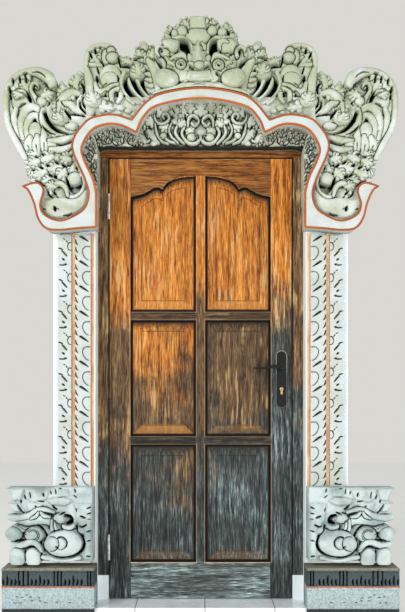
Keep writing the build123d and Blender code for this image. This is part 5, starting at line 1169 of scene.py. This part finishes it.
def stacked(piece, count, step, material):
    """Repeats a carved length up its strip with Geometry Nodes."""
    tree = bpy.data.node_groups.new("stacked_carving", "GeometryNodeTree")
    for name, kind in (("Length", "NodeSocketGeometry"), ("Count", "NodeSocketInt"),
                       ("Step", "NodeSocketFloat")):
        tree.interface.new_socket(name, in_out="INPUT", socket_type=kind)
    tree.interface.new_socket("Strip", in_out="OUTPUT", socket_type="NodeSocketGeometry")
    entry = add(tree, "NodeGroupInput")
    rise = add(tree, "ShaderNodeCombineXYZ", {"Z": entry.outputs["Step"]})
    line = add(tree, "GeometryNodeMeshLine", {"Count": entry.outputs["Count"], "Offset": rise})
    copies = add(tree, "GeometryNodeInstanceOnPoints",
                 {"Points": line, "Instance": entry.outputs["Length"]})
    whole = add(tree, "GeometryNodeRealizeInstances", {"Geometry": copies})
    painted = add(tree, "GeometryNodeSetMaterial", {"Geometry": whole, "Material": material})
    tree.links.new(painted.outputs[0], add(tree, "NodeGroupOutput").inputs["Strip"])
    stack = piece.modifiers.new("stack", "NODES")
    stack.node_group = tree
    for socket in tree.interface.items_tree:
        if socket.in_out == "INPUT" and socket.name in ("Count", "Step"):
            stack[socket.identifier] = count if socket.name == "Count" else step
    settled(piece)


strip_bottom, strip_top, strip_front = 556, 1690, 46
# Each strip's lengths, its edges in the picture's columns, and the rows that one length was drawn over
strips = {"inner": (10, (74.9, 90.6), 24.4), "outer": (8, (57.9, 71.1), 32.4)}
for flip, side in ((False, "left"), (True, "right")):
    for name, (repeats, edges, drawn) in strips.items():
        period = (strip_top - strip_bottom) / repeats
        strip = Carving(edges[0], edges[0] + 1, 400, 401, 1, strip_front)
        low = horizon_row + (eye_height - strip_bottom) / strip.scale
        rows = period / strip.scale
        strip.u, strip.v = np.meshgrid(np.linspace(*edges, 44),
                                       np.linspace(low - rows, low, round(rows / 0.36)))
        strip.height = np.full(strip.u.shape, strip_front - 1.0)
        top, tall = low - rows, rows / drawn
        if name == "inner":
            leaves = ([(75.4, -4), (80, 0), (88.6, 5.6)], [(75.4, 21.6), (80, 25), (88.6, 30)])
            for line in leaves:
                strip.cut([(u, top + v * tall + 0.6) for u, v in line[1:]], (2.6, 2.4, 0.5), 22)
            strip.cut([(89.4, top + 11 * tall), (85, top + 11.3 * tall), (82.5, top + 14.6 * tall),
                       (83.2, top + 19 * tall), (86, top + 22.8 * tall), (88.4, top + 24.2 * tall)],
                      (1.5, 1.3, 1.1, 1.1, 1.3, 1), 34)
            for v in (4.4, 11.8, 19.4):
                strip.cut([(75.4, top + v * tall), (76, top + (v + 3) * tall),
                           (77.8, top + (v + 5) * tall)],
                          (1.2, 1.9, 0.7), 28)
        else:
            for line, wide in (([(58.6, 13.6), (60.4, 13.8), (62.6, 15)], 1.6),
                               ([(61.8, 16), (63.4, 17.6), (66.6, 21.4)], 2.3),
                               ([(59.4, 30.6), (63, 30.8), (65.6, 30)], 1.7),
                               ([(64.2, 30.2), (66.2, 30)], 2.6), ([(62.4, 24.2), (64.2, 25.6)], 2.4),
                               ([(66, 5.4), (67.2, 7.4)], 1), ([(63.4, 3.6), (65, 4.4)], 1),
                               ([(70.8, 7.6), (68.6, 8), (67.4, 11.4)], 1.4),
                               ([(67.4, 11.4), (68.4, 14.8), (71, 16)], 0.8)):
                strip.cut([(u, top + v * tall) for u, v in line], (wide * 0.6, wide, wide * 0.6), 26)
        piece = strip.mesh(f"carved_{name}_strip_{side}", flip, keep=1, back=20, sighted=False)
        stacked(piece, repeats, period / 1000, smooth_paint)
        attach(piece, "surround")
        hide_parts(f"{name}_strip_{side}")

# Pilasters: plain painted stone that the strips stand on, with a fillet on each side of the inner strip,
# its front painted orange and rubbed pale at the edges.


def moulding(name, low, high, arris, material):
    """A straight bar with rounded arrises between two corners given in millimetres."""
    mesh = bmesh.new()
    bmesh.ops.create_cube(mesh, size=1)
    for vertex in mesh.verts:
        vertex.co = [(a if c < 0 else b) / 1000 for a, b, c in zip(low, high, vertex.co)]
    bmesh.ops.bevel(mesh, geom=mesh.edges[:], offset=arris / 1000, segments=2, affect="EDGES", profile=0.6)
    data = bpy.data.meshes.new(name)
    mesh.to_mesh(data)
    mesh.free()
    data.materials.append(material)
    piece = bpy.data.objects.new(name, data)
    scene.collection.objects.link(piece)
    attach(piece, "surround")
    return piece


faded_orange = limewash("faded_orange_paint", "#d2935c", "#e8c09a", "#7a4a2a", 1.0)
fillet_bottom, fillet_top, fillet_front, fillet_back = 548, 1700, -34, -30
for side, sign in (("left", -1), ("right", 1)):
    for name, inner, outer in (("inner", 482, 496), ("outer", 567, 583)):
        edges = sorted((sign * inner, sign * outer))
        moulding(f"{name}_fillet_paint_{side}", (edges[0] + 0.5, fillet_front, fillet_bottom),
                 (edges[1] - 0.5, fillet_back, fillet_top), 1.2, faded_orange)


def dress(material, *nodes):
    """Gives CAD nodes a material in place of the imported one."""
    for node in nodes:
        piece = frame["nodes"][node]
        for place in piece.material_slots:
            place.link = "OBJECT"
            place.material = material


# The pilasters and base blocks get whiter paint than the other stone, partly as painted light, so that their
# shaded lining and the low blocks read as lit
white_stone_painted_lit = limewash("white_stone_painted_lit", "#eaf2f4", "#dbe3e4", "#3b3f38", 0.6)
dress(white_stone_painted_lit, "pilaster_left", "pilaster_right", "base_block_left", "base_block_right")

# Plinths: blocks of grey stone without paint, except for a rubbed line of orange on the string course. The
# frieze between the cornice and the string is cut into posts and petals, and it is coloured dark grey.
plinth = Carving(0.9, 94.6, 566, 616, 0.4, 131)
courses = ((0, 20, 120), (20, 103, 127), (103, 107, 129), (107, 121, 131), (121, 125, 128), (125, 188, 117),
           (188, 192, 126), (192, 204, 130))
elevation = eye_height + (horizon_row - plinth.v) * plinth.scale
inside = (plinth.u > 1.4) & (plinth.u < 94.2)
for bottom, top, front in courses:
    plinth.height[(elevation >= bottom) & (elevation <= top) & inside] = front
for left, right in ((18.4, 28.4), (54, 61.6), (87.4, 94)):
    plinth.plate([(left, 571.6), (right, 571.6), (right, 585.4), (left, 585.4)], 125, 1, 5, curved=False)
    for u in (left + 0.4, (left + right) / 2, right - 0.4):
        plinth.cut([(u, 571.6), (u, 585.4)], 1.8, 106)
for start, tall in ((3, 7.4), (31.6, 40), (65, 73.4)):
    for step in range(5):
        u = start + step * 4.1
        high = 576 if abs(u - tall) < 2.1 else 579.4
        plinth.cut([(u, high), (u + 0.3, 582), (u - 0.3, 585)], (1, 2.6, 1.6), 100)
for u, v in ((17, 596.8), (22, 597.4), (27, 595), (31, 597), (39, 597.8), (15, 603), (21, 603), (32, 600.8),
             (40, 601), (45, 602.4), (57, 602.2), (70, 602.6)):
    plinth.cut([(u - 1.2, v), (u + 1.2, v + 0.3)], (0.6, 1.3, 0.5), 118)
bare_stone, tree, shader, place = surface("bare_grey_stone")
height = add(tree, "ShaderNodeSeparateXYZ", {"Vector": place}).outputs["Z"]
mould_and_shade = add(tree, "ShaderNodeAttribute", attribute_name="mould_and_shade").outputs["Fac"]
grains = noise(tree, place, 120.0, 5.0, 0.7)
wobble = calc(tree, "MULTIPLY_ADD", noise(tree, place, 14.0, 4.0), 0.006, height)
stone_colour = add(tree, "ShaderNodeValToRGB", {"Fac": fade(tree, wobble, 0.0, 0.21, course="LINEAR")},
                   stops=((0.06, "#2c3032"), (0.1, "#2c3032"), (0.13, "#9fb0b4"), (0.55, "#adbcbf"),
                          (0.56, "#b5835f"), (0.58, "#b5714a"), (0.59, "#6f7672"), (0.605, "#49565a"),
                          (0.88, "#3f4c4f"), (0.93, "#77776a"), (0.97, "#83826f")))
speckled = fade(tree, grains, 0.36, 0.6, 0.6, 1.15, "LINEAR")
toned = blended(tree, 1.0, stone_colour, speckled, "MULTIPLY")
# Mould and painted shade darken the cuts and hollows to near black
finish = blended(tree, fade(tree, mould_and_shade, 0.15, 0.6, course="LINEAR"), toned, linear("#0c1112"))
tree.links.new(finish, shader.inputs["Base Color"])
shader.inputs["Roughness"].default_value = 0.85
bump(tree, shader, grains, 0.6, 0.002)
for flip, side in ((False, "left"), (True, "right")):
    stone = plinth.mesh("grey_plinth_" + side, flip, keep=0.5)
    stone.data.materials.append(bare_stone)
    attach(stone, "surround")
    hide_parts("plinth_" + side)

# Threshold: glazed white floor tiles a foot long, bedded in grey grout.
glazed_tile, tree, shader, place = surface("glazed_white_tile")
run = add(tree, "ShaderNodeSeparateXYZ", {"Vector": place}).outputs["X"]
tile_length, first_joint = 0.3115, 0.0195
to_joint = calc(tree, "PINGPONG", calc(tree, "SUBTRACT", run, first_joint), tile_length / 2)
joint = fade(tree, to_joint, 0.0012, 0.0026, 1.0, 0.0, "LINEAR")
scuffs = noise(tree, place, 22.0, 6.0, 0.7)
glaze = add(tree, "ShaderNodeValToRGB", {"Fac": scuffs}, stops=((0.35, "#e3eaec"), (0.55, "#f8fbfc")))
tree.links.new(blended(tree, joint, glaze, linear("#6f6f68")), shader.inputs["Base Color"])
shader.inputs["Roughness"].default_value = 0.22
bump(tree, shader, joint, 0.6, 0.001).invert = True
dress(glazed_tile, "threshold")

# Metalwork: hinges and screws of zinc-plated steel, a black japanned lock plate and levers, and a brass
# cylinder. Fine scratches run along the steel, and a painted highlight runs round the lock plate's rim.


def metal(name, colour, worn, roughness, scratched, base_metal=1.0):
    """A metal with streaks of wear."""
    alloy, tree, shader, place = surface(name)
    drawn = add(tree, "ShaderNodeMapping", {"Vector": place, "Scale": scratched})
    scratches = noise(tree, drawn, 260.0, 5.0, 0.7)
    stains = fade(tree, noise(tree, place, 60.0, 3.0), 0.42, 0.64, course="LINEAR")
    tree.links.new(blended(tree, stains, linear(colour), linear(worn)), shader.inputs["Base Color"])
    shader.inputs["Metallic"].default_value = base_metal
    rough = fade(tree, scratches, 0.3, 0.7, roughness - 0.08, roughness + 0.14, "LINEAR")
    tree.links.new(rough, shader.inputs["Roughness"])
    bump(tree, shader, scratches, 0.12, 0.0004)
    return alloy


zinc = metal("zinc_plated_steel", "#d3d6d8", "#a9aaa6", 0.36, (1, 1, 0.1))
japanned = metal("black_japanned_iron", "#060707", "#101112", 0.2, (1, 1, 1), 0.4)
aged_steel = metal("aged_steel", "#4a4640", "#2c2925", 0.5, (1, 1, 0.1))
tree = japanned.node_tree
shader = tree.nodes["Principled BSDF"]
spot = add(tree, "ShaderNodeSeparateXYZ", {"Vector": add(tree, "ShaderNodeTexCoord").outputs["Object"]})
# A painted highlight stands for the light on the lock plate's raised rim: a pale line along its rounded
# outline, stronger at the top. The lever, which stands further forward, has none.
lock_x, plate_low, plate_high, rim_radius, plate_front = 0.376, 0.934, 1.149, 0.0245, 0.0615
aside = calc(tree, "SUBTRACT", spot.outputs["X"], lock_x)
over = calc(tree, "MAXIMUM", calc(tree, "SUBTRACT", spot.outputs["Z"], plate_high),
            calc(tree, "SUBTRACT", plate_low, spot.outputs["Z"]))
over = calc(tree, "MAXIMUM", over, 0.0)
reach = calc(tree, "SQRT", calc(tree, "MULTIPLY_ADD", aside, aside, calc(tree, "MULTIPLY", over, over)))
rim = fade(tree, calc(tree, "ABSOLUTE", calc(tree, "SUBTRACT", reach, rim_radius)), 0.001, 0.0022, 0.7, 0.0)
rim = calc(tree, "MULTIPLY", rim, fade(tree, spot.outputs["Z"], 1.05, 1.09, 0.4, 1.0))
rim = calc(tree, "MULTIPLY", rim, calc(tree, "GREATER_THAN", spot.outputs["Y"], plate_front))
black = shader.inputs["Base Color"].links[0].from_socket
tree.links.new(blended(tree, rim, black, linear("#a3a8a6")), shader.inputs["Base Color"])
dull_brass = metal("dull_brass", "#c9ad7a", "#8d7a55", 0.34, (1, 1, 1))
for subpart in frame["record"]["subparts"]:
    finish = {"steel": zinc, "iron": japanned, "brass": dull_brass}.get(subpart["material_slot"])
    if finish:
        dress(finish, subpart["node"])
dress(aged_steel, "lock_faceplate", "strike_plate", "latch_bolt", "dead_bolt")

low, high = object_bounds()
